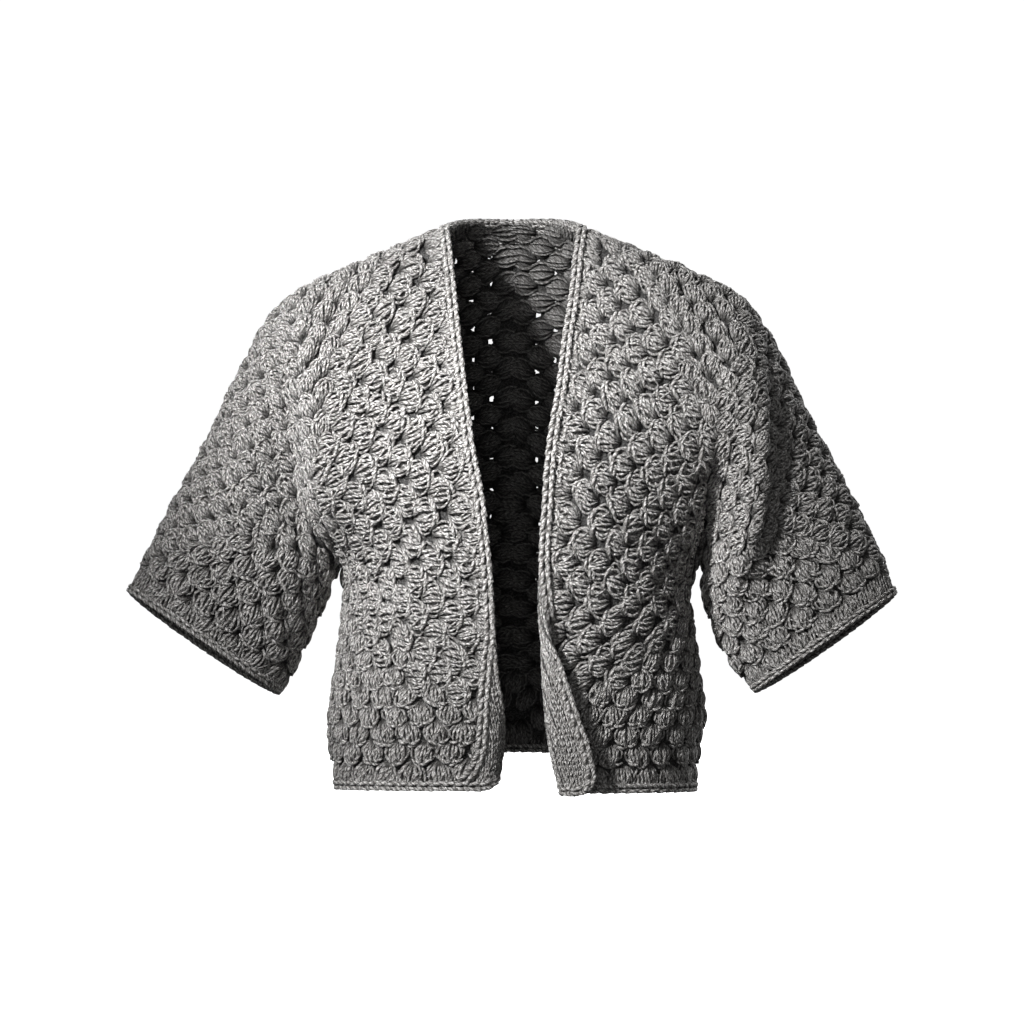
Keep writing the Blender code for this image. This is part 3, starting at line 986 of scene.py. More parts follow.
def fill_sleeve(clusters, side):
    """The two sectors of half a sleeve: towards its top line and towards its cuff."""
    for to_top in (True, False):
        for number in range(SLEEVE_ROUNDS):
            for step in SLEEVE_STEPS:
                along_round = (step + brick_offset(number)) * SLEEVE_PITCH
                from_edge = (number + 0.5) * SLEEVE_ROUND
                around, up_sleeve = (from_edge, along_round) if to_top else (along_round, from_edge)
                from_cuff = CUFF_BORDER + up_sleeve
                if around < 0 or from_cuff < CUFF_BORDER or from_cuff > SLEEVE_REACH:
                    continue
                middle, up_share, along_share, inside = side.place(from_cuff, around, to_top)
                if not inside or (up_share > along_share) != to_top:
                    continue
                outward = middle - side.place(from_cuff + SLEEVE_NEARBY, around, to_top)[0]
                onward = side.place(from_cuff, around + SLEEVE_NEARBY, to_top)[0] - middle
                if to_top:
                    clusters.add(middle, outward, -onward, SLEEVE_PITCH, SLEEVE_ROUND)
                else:
                    clusters.add(middle, onward, outward, SLEEVE_PITCH, SLEEVE_ROUND)


def with_bare_filled(cloth, sign, middles, across, growth, sizes):
    """The clusters of a half, with one more wherever the cloth between the sectors would be bare."""
    banded = np.char.count(cloth.pieces.astype(str), "band") > 0
    own = (cloth.centres[:, 0] * sign > 0) & ~banded
    places = cloth.centres[own]
    distances = np.full(len(places), np.inf)
    for middle in middles:
        distances = np.minimum(distances, np.linalg.norm(places - middle, axis=1))
    lots = [list(part) for part in (middles, across, growth, sizes)]
    while distances.max() > BARE:
        place = places[distances.argmax()]
        nearest = np.linalg.norm(middles - place, axis=1).argmin()
        for lot, value in zip(lots, (place, across[nearest], growth[nearest], sizes[nearest])):
            lot.append(value)
        distances = np.minimum(distances, np.linalg.norm(places - place, axis=1))
    return [np.array(lot) for lot in lots]


def thinned_and_relaxed(cloth, clusters, sign):
    """A half's clusters without those that crowd another, and with the gaps between sectors evened out."""
    middles, across, growth, sizes = clusters.arrays()
    keep = []
    for number, middle in enumerate(middles):
        if not keep or np.linalg.norm(middles[keep] - middle, axis=1).min() > CROWDED:
            keep.append(number)
    middles, across, growth, sizes = middles[keep], across[keep], growth[keep], sizes[keep]
    middles, across, growth, sizes = with_bare_filled(cloth, sign, middles, across, growth, sizes)
    for _ in range(PUSHES):
        gaps = middles[:, None] - middles[None]
        distances = np.linalg.norm(gaps, axis=2) + np.eye(len(middles)) * FAR
        push = np.clip(1 - distances / RELAXED, 0, 1) / distances
        middles = middles + PUSH * (gaps * push[:, :, None]).sum(axis=1)
        middles, normals, faces = cloth.nearest(middles)
    return middles, across, growth, sizes, faces


def along_cloth(vectors, normals):
    """Vectors turned to lie in the cloth, at their own lengths."""
    flat = vectors - (vectors * normals).sum(axis=1)[:, None] * normals
    lengths = np.linalg.norm(vectors, axis=1)
    return flat * (lengths / np.maximum(np.linalg.norm(flat, axis=1), 1e-9))[:, None]


def patches_of(cloth, middles, across, growth, sizes):
    """A small net of places on the cloth round each cluster, walked out from its middle."""
    count = len(middles)
    places = np.empty((count, PATCH, PATCH, 3))
    normals = np.empty((count, PATCH, PATCH, 3))
    half = PATCH // 2
    here, up, _ = cloth.nearest(middles)
    steps_across = along_cloth(across * sizes[:, :1] * PATCH_ACROSS, up)
    steps_along = along_cloth(growth * sizes[:, 1:] * PATCH_ALONG, up)
    places[:, half, half], normals[:, half, half] = here, up
    for way in (-1, 1):
        step = way * steps_along
        for i in range(1, half + 1):
            row = half + way * i
            start = places[:, row - way, half]
            here, up, _ = cloth.nearest(start + step)
            step = along_cloth(step, up)
            places[:, row, half], normals[:, row, half] = here, up
    for row in range(PATCH):
        for way in (-1, 1):
            step = way * along_cloth(steps_across, normals[:, row, half])
            for i in range(1, half + 1):
                column = half + way * i
                here, up, _ = cloth.nearest(places[:, row, column - way] + step)
                step = along_cloth(step, up)
                places[:, row, column], normals[:, row, column] = here, up
    return places, normals


def on_patches(patches, x, y):
    """Places and normals at shares x across and y along each cluster, read off the patches' nets."""
    places, normals = patches
    half = PATCH // 2
    column = np.clip(x / PATCH_ACROSS + half, 0, PATCH - 1.001)
    row = np.clip(y / PATCH_ALONG + half, 0, PATCH - 1.001)
    i, j = row.astype(int), column.astype(int)
    s, t = (row - i)[..., None], (column - j)[..., None]
    number = np.arange(len(places))[:, None]

    def read(net):
        low = net[number, i, j] * (1 - t) + net[number, i, j + 1] * t
        high = net[number, i + 1, j] * (1 - t) + net[number, i + 1, j + 1] * t
        return low * (1 - s) + high * s

    up = read(normals)
    return read(places), up / np.linalg.norm(up, axis=-1)[..., None]


class Yarn:
    """Strands of yarn and the bodies under them, in one mesh, each with its cell of the bake's map."""

    def __init__(self, rng):
        self.rng = rng
        self.strips = []

    def add(self, centres, ups, radii, sides, lit_share):
        """Strands with open undersides: centres and ups are (strand, point, 3), with a share at each point
        that says how little painted shade it gets.
        """
        along = np.gradient(centres, axis=1)
        along /= np.maximum(np.linalg.norm(along, axis=2), 1e-9)[..., None]
        beside = np.cross(along, ups)
        beside /= np.maximum(np.linalg.norm(beside, axis=2), 1e-9)[..., None]
        ups = np.cross(beside, along)
        radii = np.broadcast_to(radii, centres.shape[:2])
        angles = np.radians(np.linspace(STRAND_FROM, STRAND_TO, sides + 1))
        rim = np.cos(angles)[:, None] * beside[:, :, None] + np.sin(angles)[:, None] * ups[:, :, None]
        rings = centres[:, :, None] + radii[..., None, None] * rim
        lit_share = np.broadcast_to(lit_share[..., None], rings.shape[:3])
        self.strips.append((rings, lit_share, STRAND_TURNS))

    def add_bodies(self, points, lit_share):
        """Domed bodies: points are (body, step along, step across, 3), with how little painted shade each
        one gets.
        """
        self.strips.append((points, lit_share, BODY_TURNS))

    def build(self, name, material):
        cells = int(np.ceil(np.sqrt(sum(len(strip) for strip, _, _ in self.strips))))
        points, faces, yarn_map, bake_map, painted_shade_map = [], [], [], [], []
        count = done = 0
        for strip, lit_share, turns in self.strips:
            number, length, width = strip.shape[:3]
            points.append(strip.reshape(-1, 3))
            piece, step, side = np.meshgrid(
                np.arange(number), np.arange(length - 1), np.arange(width - 1), indexing="ij"
            )
            base = count + (piece * length + step) * width + side
            faces.append(np.stack([base, base + 1, base + width + 1, base + width], -1).reshape(-1, 4))
            middle = strip[:, :, width // 2]
            steps = np.linalg.norm(np.diff(middle, axis=1), axis=2)
            reached = np.concatenate([np.zeros((number, 1)), np.cumsum(steps, axis=1)], axis=1)
            u = (reached + self.rng.uniform(0, 900, (number, 1)))[:, :, None] + np.zeros(width)
            v = turns * np.linspace(0, 1, width) + np.zeros_like(u) + self.rng.uniform(0, 50, (number, 1, 1))
            yarn_map.append(corner_map(u, v))
            # The painted shade map: how little painted shade each point gets, and its place across the
            # strand or body, whose sides the material paints darker
            across = np.linspace(0, 1, width) + np.zeros(lit_share.shape)
            painted_shade_map.append(corner_map(np.clip(lit_share, 0, 1), across))
            cell = (done + np.arange(number))[:, None, None]
            u = cell % cells + np.linspace(CELL_MARGIN, 1 - CELL_MARGIN, length)[:, None] + np.zeros(width)
            v = cell // cells + np.linspace(CELL_MARGIN, 1 - CELL_MARGIN, width) + np.zeros_like(u)
            bake_map.append(corner_map(u, v) / cells)
            count += number * length * width
            done += number
        maps = {
            "OFBake": np.concatenate(bake_map),
            "Yarn": np.concatenate(yarn_map),
            "Depth": np.concatenate(painted_shade_map),
        }
        return quad_object(name, np.concatenate(points), np.concatenate(faces), maps, material)


def corner_map(u, v):
    """A map's values at the four corners of every face of a strip."""
    corners = [(slice(None, -1), slice(None, -1)), (slice(None, -1), slice(1, None))]
    corners += [(slice(1, None), slice(1, None)), (slice(1, None), slice(None, -1))]
    pairs = [np.stack([u[:, i, j], v[:, i, j]], -1) for i, j in corners]
    return np.stack(pairs, axis=3).reshape(-1, 2)


def quad_object(name, points, faces, maps, material):
    """A smooth mesh of four-sided faces, from points in millimetres, with its maps."""
    mesh = bpy.data.meshes.new(name)
    mesh.vertices.add(len(points))
    mesh.vertices.foreach_set("co", (points * MM).astype(np.float32).ravel())
    mesh.loops.add(faces.size)
    mesh.loops.foreach_set("vertex_index", faces.astype(np.int32).ravel())
    mesh.polygons.add(len(faces))
    mesh.polygons.foreach_set("loop_start", np.arange(0, faces.size, 4, dtype=np.int32))
    mesh.update(calc_edges=True)
    for map_name, values in maps.items():
        layer = mesh.uv_layers.new(name=map_name)
        layer.data.foreach_set("uv", values.astype(np.float32).ravel())
    mesh.uv_layers.active = mesh.uv_layers["OFBake"]
    mesh.shade_smooth()
    mesh.materials.append(material)
    made = bpy.data.objects.new(name, mesh)
    bpy.context.scene.collection.objects.link(made)
    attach(made, "root")
    return made


def fan_form(t):
    """How wide and how high a cluster is at shares t of its length."""
    spread = np.sin(np.pi * (0.02 + 0.80 * t)) ** 0.85
    rise = np.sin(np.pi * (0.01 + 0.83 * t)) ** 0.62
    return spread, rise


def painted_light_share(x, y, sizes):
    """How little painted shade the yarn gets: 0 in the gather's hole, painted darkest, 1 on the dome; the
    sides and the rounded end get a little painted shade too.
    """
    from_gather = np.hypot(x * sizes[:, :1], (y - GATHER) * sizes[:, 1:])
    middle = np.clip((from_gather - GATHER_SHADE_RADIUS) / GATHER_SHADE_FADE, 0, 1)
    sides = 1 - 0.35 * np.clip(np.abs(x) / HALF_WIDTH, 0, 1) ** 3
    end = 1 - 0.3 * np.clip((y - 0.4) / 0.3, 0, 1)
    return middle * sides * end


class ClusterYarn:
    """Lays the strands of a set of clusters on their patches of cloth, each cluster a little different."""

    def __init__(self, patches, sizes, rng):
        self.patches = patches
        self.sizes = sizes
        self.rng = rng
        self.count = len(sizes)
        self.swell = rng.normal(1, 0.08, (self.count, 1))
        self.lean = self.chance(0.06)
        self.turned = rng.choice([-1.0, 1.0], (self.count, 1))
        self.radius = STRAND_RADIUS * (sizes[:, :1] / COMMON_PITCH) ** 0.5

    def chance(self, spread):
        """A chance amount for each cluster."""
        return self.rng.normal(0, spread, (self.count, 1))

    def lay(self, yarn, x, y, z, radius, sides=3, way=1, chosen=slice(None)):
        """One strand on each chosen cluster, facing out of the cloth or, with way -1, in."""
        x, y, z, radius = np.broadcast_arrays(x, y, z, radius)
        place, up = on_patches(self.patches, x + self.lean * (y + 0.5), y)
        centres = place + up * (z[..., None] - SUNK)
        # How little painted shade each point of the strand gets
        lit_share = painted_light_share(x, y, self.sizes)
        yarn.add(centres[chosen], up[chosen] * way, radius[chosen], sides, lit_share[chosen])

    def lay_body(self, yarn, t, across, height, low, way=1, chosen=slice(None)):
        """The domed body of each chosen cluster, on the right side or, with way -1, the wrong side."""
        net = (self.count, len(t), len(across))
        spread, rise = fan_form(t)
        x = (HALF_WIDTH * across * spread[:, None]).ravel() + np.zeros((self.count, 1))
        y = (GATHER + BODY_LENGTH * t[:, None] * (1 - 0.16 * across**2)).ravel() + np.zeros((self.count, 1))
        z = ((height * (1 - 0.5 * across**2) + low) * rise[:, None] - low).ravel() * self.swell
        place, up = on_patches(self.patches, x + self.lean * (y + 0.5), y)
        points = (place + up * (way * z[..., None] - SUNK)).reshape(*net, 3)
        # The body is painted darker than its strands, as shade under them
        lit_share = painted_light_share(x, y, self.sizes).reshape(net) - BODY_SHADE
        points = points if way > 0 else points[:, :, ::-1]
        yarn.add_bodies(points[chosen], lit_share[chosen])

    def add_fan(self, yarn):
        """A body, and the strands that fan over it from the gather."""
        self.lay_body(yarn, np.linspace(0, 1, 7), np.linspace(-0.94, 0.94, 5), DOME - 2.0, GATHER_DEPTH)
        t = np.linspace(0, 1, FAN_POINTS)
        spread, rise = fan_form(t * FAN_LENGTH / BODY_LENGTH)
        taper = 1 - 0.4 * np.abs(2 * t - 1) ** 3
        for middle in np.linspace(-1, 1, FAN_STRANDS):
            sway = 0.10 * np.sin(self.rng.uniform(0, 2 * np.pi, (self.count, 1)) + 4.5 * t)
            x = HALF_WIDTH * (middle + sway + self.chance(0.05)) * spread
            reach = FAN_LENGTH * (1 - 0.2 * middle**2) + self.chance(0.05)
            height = self.swell * DOME * (1 - 0.5 * middle**2) + self.chance(0.55)
            z = (height + GATHER_DEPTH) * rise - GATHER_DEPTH
            self.lay(yarn, x, GATHER + reach * t, z, self.radius * taper)

    def add_end_loops(self, yarn):
        """Short loops across the rounded end."""
        s = np.linspace(-1, 1, 5)
        for loop in END_LOOPS:
            x = self.turned * (loop.middle + loop.half * s) + self.chance(0.035)
            slope = -0.35 * loop.middle * s + self.chance(0.10) * s
            y = loop.distance + slope - 0.12 * s**2 + self.chance(0.04)
            z = self.swell * (DOME - loop.lower - 1.6 * s**2) + self.chance(0.3)
            self.lay(yarn, x, y, z, 1.25 * self.radius * (1 - 0.5 * s**2))

    def add_crossings(self, yarn):
        """Two thin strands that run back over the dome from near its end."""
        t = np.linspace(0, 1, 5)
        bulge = np.sin(np.pi * t)
        for way in (-1, 1):
            x = self.turned * (0.04 + way * (0.02 + 0.24 * t)) + self.chance(0.04)
            y = 0.20 - 0.62 * t + self.chance(0.08)
            z = self.swell * (DOME * 0.97 + 0.8 * bulge - 1.3 * t)
            self.lay(yarn, x, y, z, STRAND_RADIUS * 0.85 * (0.5 + 0.5 * bulge))

    def add_wrong_side(self, yarn, chosen):
        """A flatter body and four strands on the wrong side of the chosen clusters."""
        self.lay_body(yarn, np.linspace(0, 1, 5), np.linspace(-1, 1, 5), 2.2, 0.6, -1, chosen)
        t = np.linspace(0, 1, 4)
        for middle in np.linspace(-0.8, 0.8, 4):
            u = middle + self.chance(0.12)
            x = HALF_WIDTH * u * np.sin(np.pi * (0.08 + 0.7 * t)) ** 0.7
            y = GATHER + 1.5 * t * (1 - 0.2 * u**2) + self.chance(0.05)
            z = -0.8 - 2.1 * np.sin(np.pi * (0.05 + 0.85 * t)) + 0.6 * u**2
            self.lay(yarn, x, y, z, STRAND_RADIUS * 1.2, 2, -1, chosen)


class Wire:
    """A node's output that takes part in Python sums."""

    def __init__(self, shade, socket):
        self.shade = shade
        self.socket = socket

    def beside(self, output):
        """Another output of the same node."""
        return Wire(self.shade, self.socket.node.outputs[output])

    def joined(self, operation, *values):
        return self.shade.node("ShaderNodeMath", {"operation": operation}, dict(enumerate(values)))

    def __add__(self, other):
        return self.joined("ADD", self, other)

    __radd__ = __add__

    def __sub__(self, other):
        return self.joined("SUBTRACT", self, other)

    def __rsub__(self, other):
        return self.joined("SUBTRACT", other, self)

    def __mul__(self, other):
        return self.joined("MULTIPLY", self, other)

    __rmul__ = __mul__

    def sine(self):
        return self.joined("SINE", self)

    def size(self):
        return self.joined("ABSOLUTE", self)

    def between(self, low, high):
        """0 below low, 1 above high, and even between."""
        sockets = {"Value": self, "From Min": low, "From Max": high}
        return self.shade.node("ShaderNodeMapRange", {"clamp": True}, sockets, "Result")


class Shade:
    """A material under way, with one method that makes its nodes."""

    def __init__(self, name):
        self.material = bpy.data.materials.new(name)
        self.material.use_nodes = True
        self.tree = self.material.node_tree
        self.surface = self.tree.nodes["Principled BSDF"]

    def feed(self, socket, value):
        """Links a wire to a socket, or else sets the socket's value."""
        if isinstance(value, Wire):
            self.tree.links.new(value.socket, socket)
        else:
            socket.default_value = value

    def node(self, kind, settings=None, sockets=None, output=0):
        """A node's output, from its type, its settings, and its sockets' values or wires."""
        node = self.tree.nodes.new(kind)
        for key, value in (settings or {}).items():
            setattr(node, key, value)
        for key, value in (sockets or {}).items():
            self.feed(node.inputs[key], value)
        return Wire(self, node.outputs[output])

    def mixed(self, share, low, high):
        """A colour between two, each a wire or four numbers."""
        return self.node("ShaderNodeMix", {"data_type": "RGBA"}, {0: share, 6: low, 7: high}, 2)

    def finished(self, sockets):
        """The material, once its surface has its values and wires."""
        for key, value in sockets.items():
            self.feed(self.surface.inputs[key], value)
        return self.material


def grey(value, warmth=0.0):
    """A grey as a colour's four numbers, a little warm or not."""
    return (value * (1 + warmth), value, value * (1 - warmth), 1.0)


def yarn_material(name, lightness):
    """Two-ply melange yarn: twisted plies, pale and dark fibres lying along them, and a soft sheen, with
    painted shade in the grooves between plies, on each strand's sides and round the gathers.
    """
    shade = Shade(name)
    yarn_map = shade.node("ShaderNodeUVMap", {"uv_map": "Yarn"})
    along = shade.node("ShaderNodeSeparateXYZ", sockets={"Vector": yarn_map}, output="X")
    around = along.beside("Y")
    twist = along * (1 / PLY_LENGTH) + around * PLIES
    ply = (twist * math.pi).sine().size()

    def fibres(length, width, shift):
        """Streaks that lie along the twist."""
        axes = {"X": twist * width + shift, "Y": along * (1 / length) - around * FIBRE_SLANT}
        place = shade.node("ShaderNodeCombineXYZ", sockets=axes)
        streaks = {"Vector": place, "Scale": 1.0, "Detail": 2.0, "Roughness": 0.6}
        return shade.node("ShaderNodeTexNoise", sockets=streaks)

    def tinted(tone):
        return grey(tone.value * lightness, tone.warmth)

    fine = fibres(3.0, 7.0, 0.0)
    coarse = fibres(7.0, 3.0, 31.0)
    pale = fine.between(0.43, 0.60)
    dark = coarse.between(0.51, 0.61)
    groove = ply.between(0.0, 0.6)
    # Painted shade, darkest round the gathers and on the sides of each strand and body, where neighbours
    # would shade the yarn
    painted_shade_map = shade.node("ShaderNodeUVMap", {"uv_map": "Depth"})
    painted_lit_share = shade.node("ShaderNodeSeparateXYZ", sockets={"Vector": painted_shade_map}, output="X")
    rim = (painted_lit_share.beside("Y") * 2.0 - 1.0).size().between(0.22, 0.95)
    lit_share = painted_lit_share.between(0.06, 0.92) * (1.0 - rim * 0.85)
    tone = shade.mixed(pale, tinted(MIDDLE_FIBRES), tinted(PALE_FIBRES))
    tone = shade.mixed(dark * 0.85, tone, tinted(DARK_FIBRES))
    # Painted shade in the grooves between the twisted plies
    tone = shade.mixed(groove, tinted(PLY_GROOVE_SHADE), tone)
    tone = shade.mixed(lit_share, tinted(HOLLOW_SHADE), tone)
    relief = {"Strength": 0.8, "Distance": 0.0006, "Height": groove * 0.75 + fine * 0.5}
    return shade.finished(
        {
            "Base Color": tone,
            "Normal": shade.node("ShaderNodeBump", sockets=relief),
            "Roughness": 0.82,
            "Sheen Weight": 0.15,
            "Sheen Roughness": 0.5,
        }
    )


def ground_material(name):
    """The yarn deep in the cloth, under the clusters: the same fibres without a clear direction, painted far
    darker as shade.
    """
    shade = Shade(name)
    place = shade.node("ShaderNodeTexCoord", output="Object")
    flecks = {"Vector": place, "Scale": 620.0, "Detail": 3.0, "Roughness": 0.7}
    fleck = shade.node("ShaderNodeTexNoise", sockets=flecks)
    relief = {"Strength": 0.9, "Distance": 0.001, "Height": fleck}
    return shade.finished(
        {
            "Base Color": shade.mixed(fleck.between(0.42, 0.62), grey(0.02, 0.03), grey(0.13, 0.02)),
            "Normal": shade.node("ShaderNodeBump", sockets=relief),
            "Roughness": 0.95,
        }
    )


def studio_material(name):
    """The plain white of the studio's floor and dome."""
    return Shade(name).finished(
        {
            "Base Color": grey(0.9),
            "Roughness": 0.9,
            "Emission Color": grey(1.0),
            "Emission Strength": 1.0,
        }
    )


def add_half(cloth, half, name):
    """One half's front, back and sleeve, folded, set on their side and added to the cloth."""
    sign = half["sign"]
    arm_row = BORDER_STEPS + ROWS_BELOW_ARM - 1
    front = rounded_corner(front_grid(half), CORNER_RADIUS)
    back = back_grid(half, front[-1])
    sleeve = sleeve_grid(half, front[arm_row:, -1], back[arm_row:, -1])
    front, back, sleeve = (folded(grid, half) * np.array([sign, 1, 1]) for grid in (front, back, sleeve))
    neck_row = len(back) - 1 - FINE

    def front_piece(row, column):
        if column < BORDER_STEPS:
            return f"front_band_{name}"
        return f"hem_band_{name}" if row < BORDER_STEPS else f"front_{name}"

    def back_piece(row, column):
        if row >= neck_row and column < NECK_COLUMNS:
            return "neck_band"
        return f"hem_band_{name}" if row < BORDER_STEPS else f"back_{name}"

    def sleeve_piece(ring, _):
        return f"cuff_band_{name}" if ring >= SLEEVE_RINGS - 1 else f"sleeve_{name}"

    cloth.add_grid(front, front_piece, flipped=sign < 0)
    cloth.add_grid(back, back_piece, flipped=sign > 0)
    cloth.add_grid(sleeve, sleeve_piece, flipped=sign > 0, closed=True)
    return {"front": front, "back": back, "sleeve": sleeve}


def half_clusters(grids, plain):
    """The clusters of one half, before they are thinned and evened out."""
    clusters = Clusters()
    fill_panel(clusters, Panel(grids["front"], FRONT_BORDER), FRONT_ROUND, FRONT_PITCH, plain)
    fill_panel(clusters, Panel(grids["back"], 0.0), BACK_ROUND, BACK_PITCH)
    sleeve = grids["sleeve"]
    front_side = sleeve[:, : ROWS_BESIDE_ARM + 1]
    back_side = np.concatenate([sleeve[:, :1], sleeve[:, : ROWS_BESIDE_ARM - 1 : -1]], axis=1)
    fill_sleeve(clusters, SleeveSide(front_side))
    fill_sleeve(clusters, SleeveSide(back_side))
    return clusters


def add_plait(yarn, line, beside, up, rng, half=PLAIT_HALF, raised=0.0):
    """A row of V-shaped stitches along a line, with the directions beside it and out of it."""
    lengths = lengths_along(line)
    scale = half / PLAIT_HALF
    count = max(2, int(round(lengths[-1] / (PLAIT_STEP * scale))))
    step = lengths[-1] / count
    t = np.linspace(0, 1, 4)
    along = np.clip((np.arange(count)[:, None] - 0.35) * step + 1.5 * step * t, 0, lengths[-1])
    place, aside, out = (read_along(values, lengths, along) for values in (line, beside, up))
    radius = PLAIT_RADIUS * scale * (1 - 0.3 * np.abs(2 * t - 1) ** 2)
    # Painted shade at each stitch's ends, where it dips into the cloth
    lit_share = 0.35 + 0.65 * np.sin(np.pi * (0.15 + 0.8 * t)) + np.zeros((count, 1))
    for way in (-1, 1):
        apart = way * half * (1 - 0.8 * t) + rng.normal(0, 0.12, (count, 1))
        lift = raised + PLAIT_LIFT * np.sin(np.pi * (0.12 + 0.8 * t)) + rng.normal(0, 0.1, (count, 1))
        yarn.add(place + aside * apart[..., None] + out * lift[..., None], out, radius, 3, lit_share)


def strip_lines(grid, normals, share):
    """A line along a border strip at a share of its width, with the directions beside it and out of it."""
    at = share * (grid.shape[1] - 1)
    line = between_rows(grid.transpose(1, 0, 2), at)
    up = between_rows(normals.transpose(1, 0, 2), at)
    beside = grid[:, -1] - grid[:, 0]
    beside /= np.linalg.norm(beside, axis=1)[:, None]
    return line, beside, up / np.linalg.norm(up, axis=1)[:, None]


def add_posts(yarn, grid, normals, rng):
    """Short strands straight across a border, from its free edge to the clusters, on both faces."""
    lengths = lengths_along(grid[:, 0])
    count = int(lengths[-1] / POST_STEP)
    t = np.linspace(0, 1, 4)
    along = (np.arange(count)[:, None] + 0.5) * lengths[-1] / count
    along = np.clip(along + rng.normal(0, 0.35, (count, 1)) + POST_SLANT * (t - 0.5), 0, lengths[-1])
    at = np.interp(along, lengths, np.arange(len(lengths)))
    row = np.minimum(at.astype(int), len(lengths) - 2)
    share = (at - row)[..., None]
    across = np.clip(0.1 + 1.1 * t, 0, 1) * (grid.shape[1] - 1)
    column = np.minimum(across.astype(int), grid.shape[1] - 2)
    aside = (across - column)[:, None]

    def read(net):
        low = net[row, column] * (1 - aside) + net[row, column + 1] * aside
        high = net[row + 1, column] * (1 - aside) + net[row + 1, column + 1] * aside
        return low * (1 - share) + high * share

    lift = POST_LIFT * (0.75 + 0.25 * np.sin(np.pi * t)) + rng.normal(0, 0.2, (count, 1))
    # Painted shade at each post's ends, darker than its middle
    lit_share = 0.45 + 0.4 * np.sin(np.pi * t) + np.zeros((count, 1))
    for way, sides in ((-1, 2), (1, 3)):
        up = way * read(normals)
        yarn.add(read(grid) + up * lift[..., None], up, POST_RADIUS * (1 - 0.2 * t), sides, lit_share)


def add_border(yarn, cloth, grid, rows, edge, rng):
    """Rows of plaits, or else posts, on both faces of a border strip, and a plait round its free edge."""
    _, normals, _ = cloth.nearest(grid.reshape(-1, 3))
    normals = normals.reshape(grid.shape)
    if rows:
        half = 0.5 * np.linalg.norm(grid[:, -1] - grid[:, 0], axis=1).mean() / rows
        for share in (np.arange(rows) + 0.5) / rows:
            line, beside, up = strip_lines(grid, normals, share)
            add_plait(yarn, line, beside, up, rng, half)
            add_plait(yarn, line, beside, -up, rng, half)
    else:
        add_posts(yarn, grid, normals, rng)
    line, beside, up = strip_lines(grid, normals, 0.0)
    for way in (-1, 1):
        add_plait(yarn, line + beside * EDGE_IN * edge, beside, way * up, rng, edge, EDGE_UP * edge)
    add_plait(yarn, line + beside * RIM_IN, up, -beside, rng)


def add_plain_rows(yarn, cloth, grid, levels, way, rng):
    """Plain close rows along an opening's lower corner: each length from the edge starts at its level."""
    lengths = lengths_along(grid[PLAIN_READ_ROW])
    _, normals, _ = cloth.nearest(grid.reshape(-1, 3))
    normals = way * normals.reshape(grid.shape)
    for length in np.arange(PLAIN_FIRST, levels[-1][0], PLAIN_STEP):
        at = np.interp(length, lengths, np.arange(len(lengths)))
        column = int(at)
        line = between_rows(grid.transpose(1, 0, 2), at)
        rows = line[:, 2] < np.interp(length, *zip(*levels))
        if rows.sum() < LEAST_POINTS:
            continue
        beside = (grid[:, column + 1] - grid[:, column])[rows]
        beside /= np.linalg.norm(beside, axis=1)[:, None]
        up = normals[rows, column]
        add_plait(yarn, line[rows] + up * PLAIN_LIFT, beside, up, rng, PLAIN_HALF)


def add_corner_rope(yarn, cloth, grid, rng):
    """The raised rope between the clusters and the plain corner of the wearer's right front."""
    line = []
    for row in grid[ROPE_ROW:]:
        level = row[ROPE_COLUMN, 2]
        if level < ROPE_FROM:
            taken = column_of(RIGHT["rolls"], "up", "taken", level)
            turn = ROPE_TURN * np.clip((ROPE_TURN_FROM - level) / ROPE_TURN_OVER, 0, 1) ** 2
            line.append(at_lengths(row, [ROPE_START + taken + turn])[0])
    line = np.array(line)
    _, up, _ = cloth.nearest(line)
    beside = np.cross(np.gradient(line, axis=0), up)
    beside /= np.linalg.norm(beside, axis=1)[:, None]
    add_plait(yarn, line + up * ROPE_LIFT, beside, up, rng, FRONT_EDGE, ROPE_RAISED)


def add_seam(yarn, cloth, line, rng):
    """The seam that joins the halves down the centre of the back, seen on the outside."""
    _, up, _ = cloth.nearest(line)
    beside = np.tile([1.0, 0.0, 0.0], (len(line), 1))
    add_plait(yarn, line + up * SEAM_LIFT, beside, up, rng, SEAM_HALF)


def flat_size(name, grids, area):
    """The width and length of a sheet's cloth before it was hung, in millimetres."""
    borders = {"front_band": FRONT_BORDER, "hem_band": HEM_BORDER, "neck_band": NECK_BORDER}
    for start, width in borders.items():
        if name.startswith(start):
            return width, BAND_SLACK * area / width
    grid = grids[name.split("_")[0]]
    if name.startswith("sleeve"):
        grid = np.concatenate([grid, grid[:, :1]], axis=1)
    width = max(lengths_along(row)[-1] for row in grid)
    length = max(lengths_along(column)[-1] for column in grid.transpose(1, 0, 2))
    return width, length


def panel_of(piece, side):
    """The panel whose clusters reach onto a piece of this half."""
    if piece.startswith(("cuff", "sleeve")):
        return f"sleeve_{side}"
    return f"front_{side}" if piece.startswith("front") else f"back_{side}"


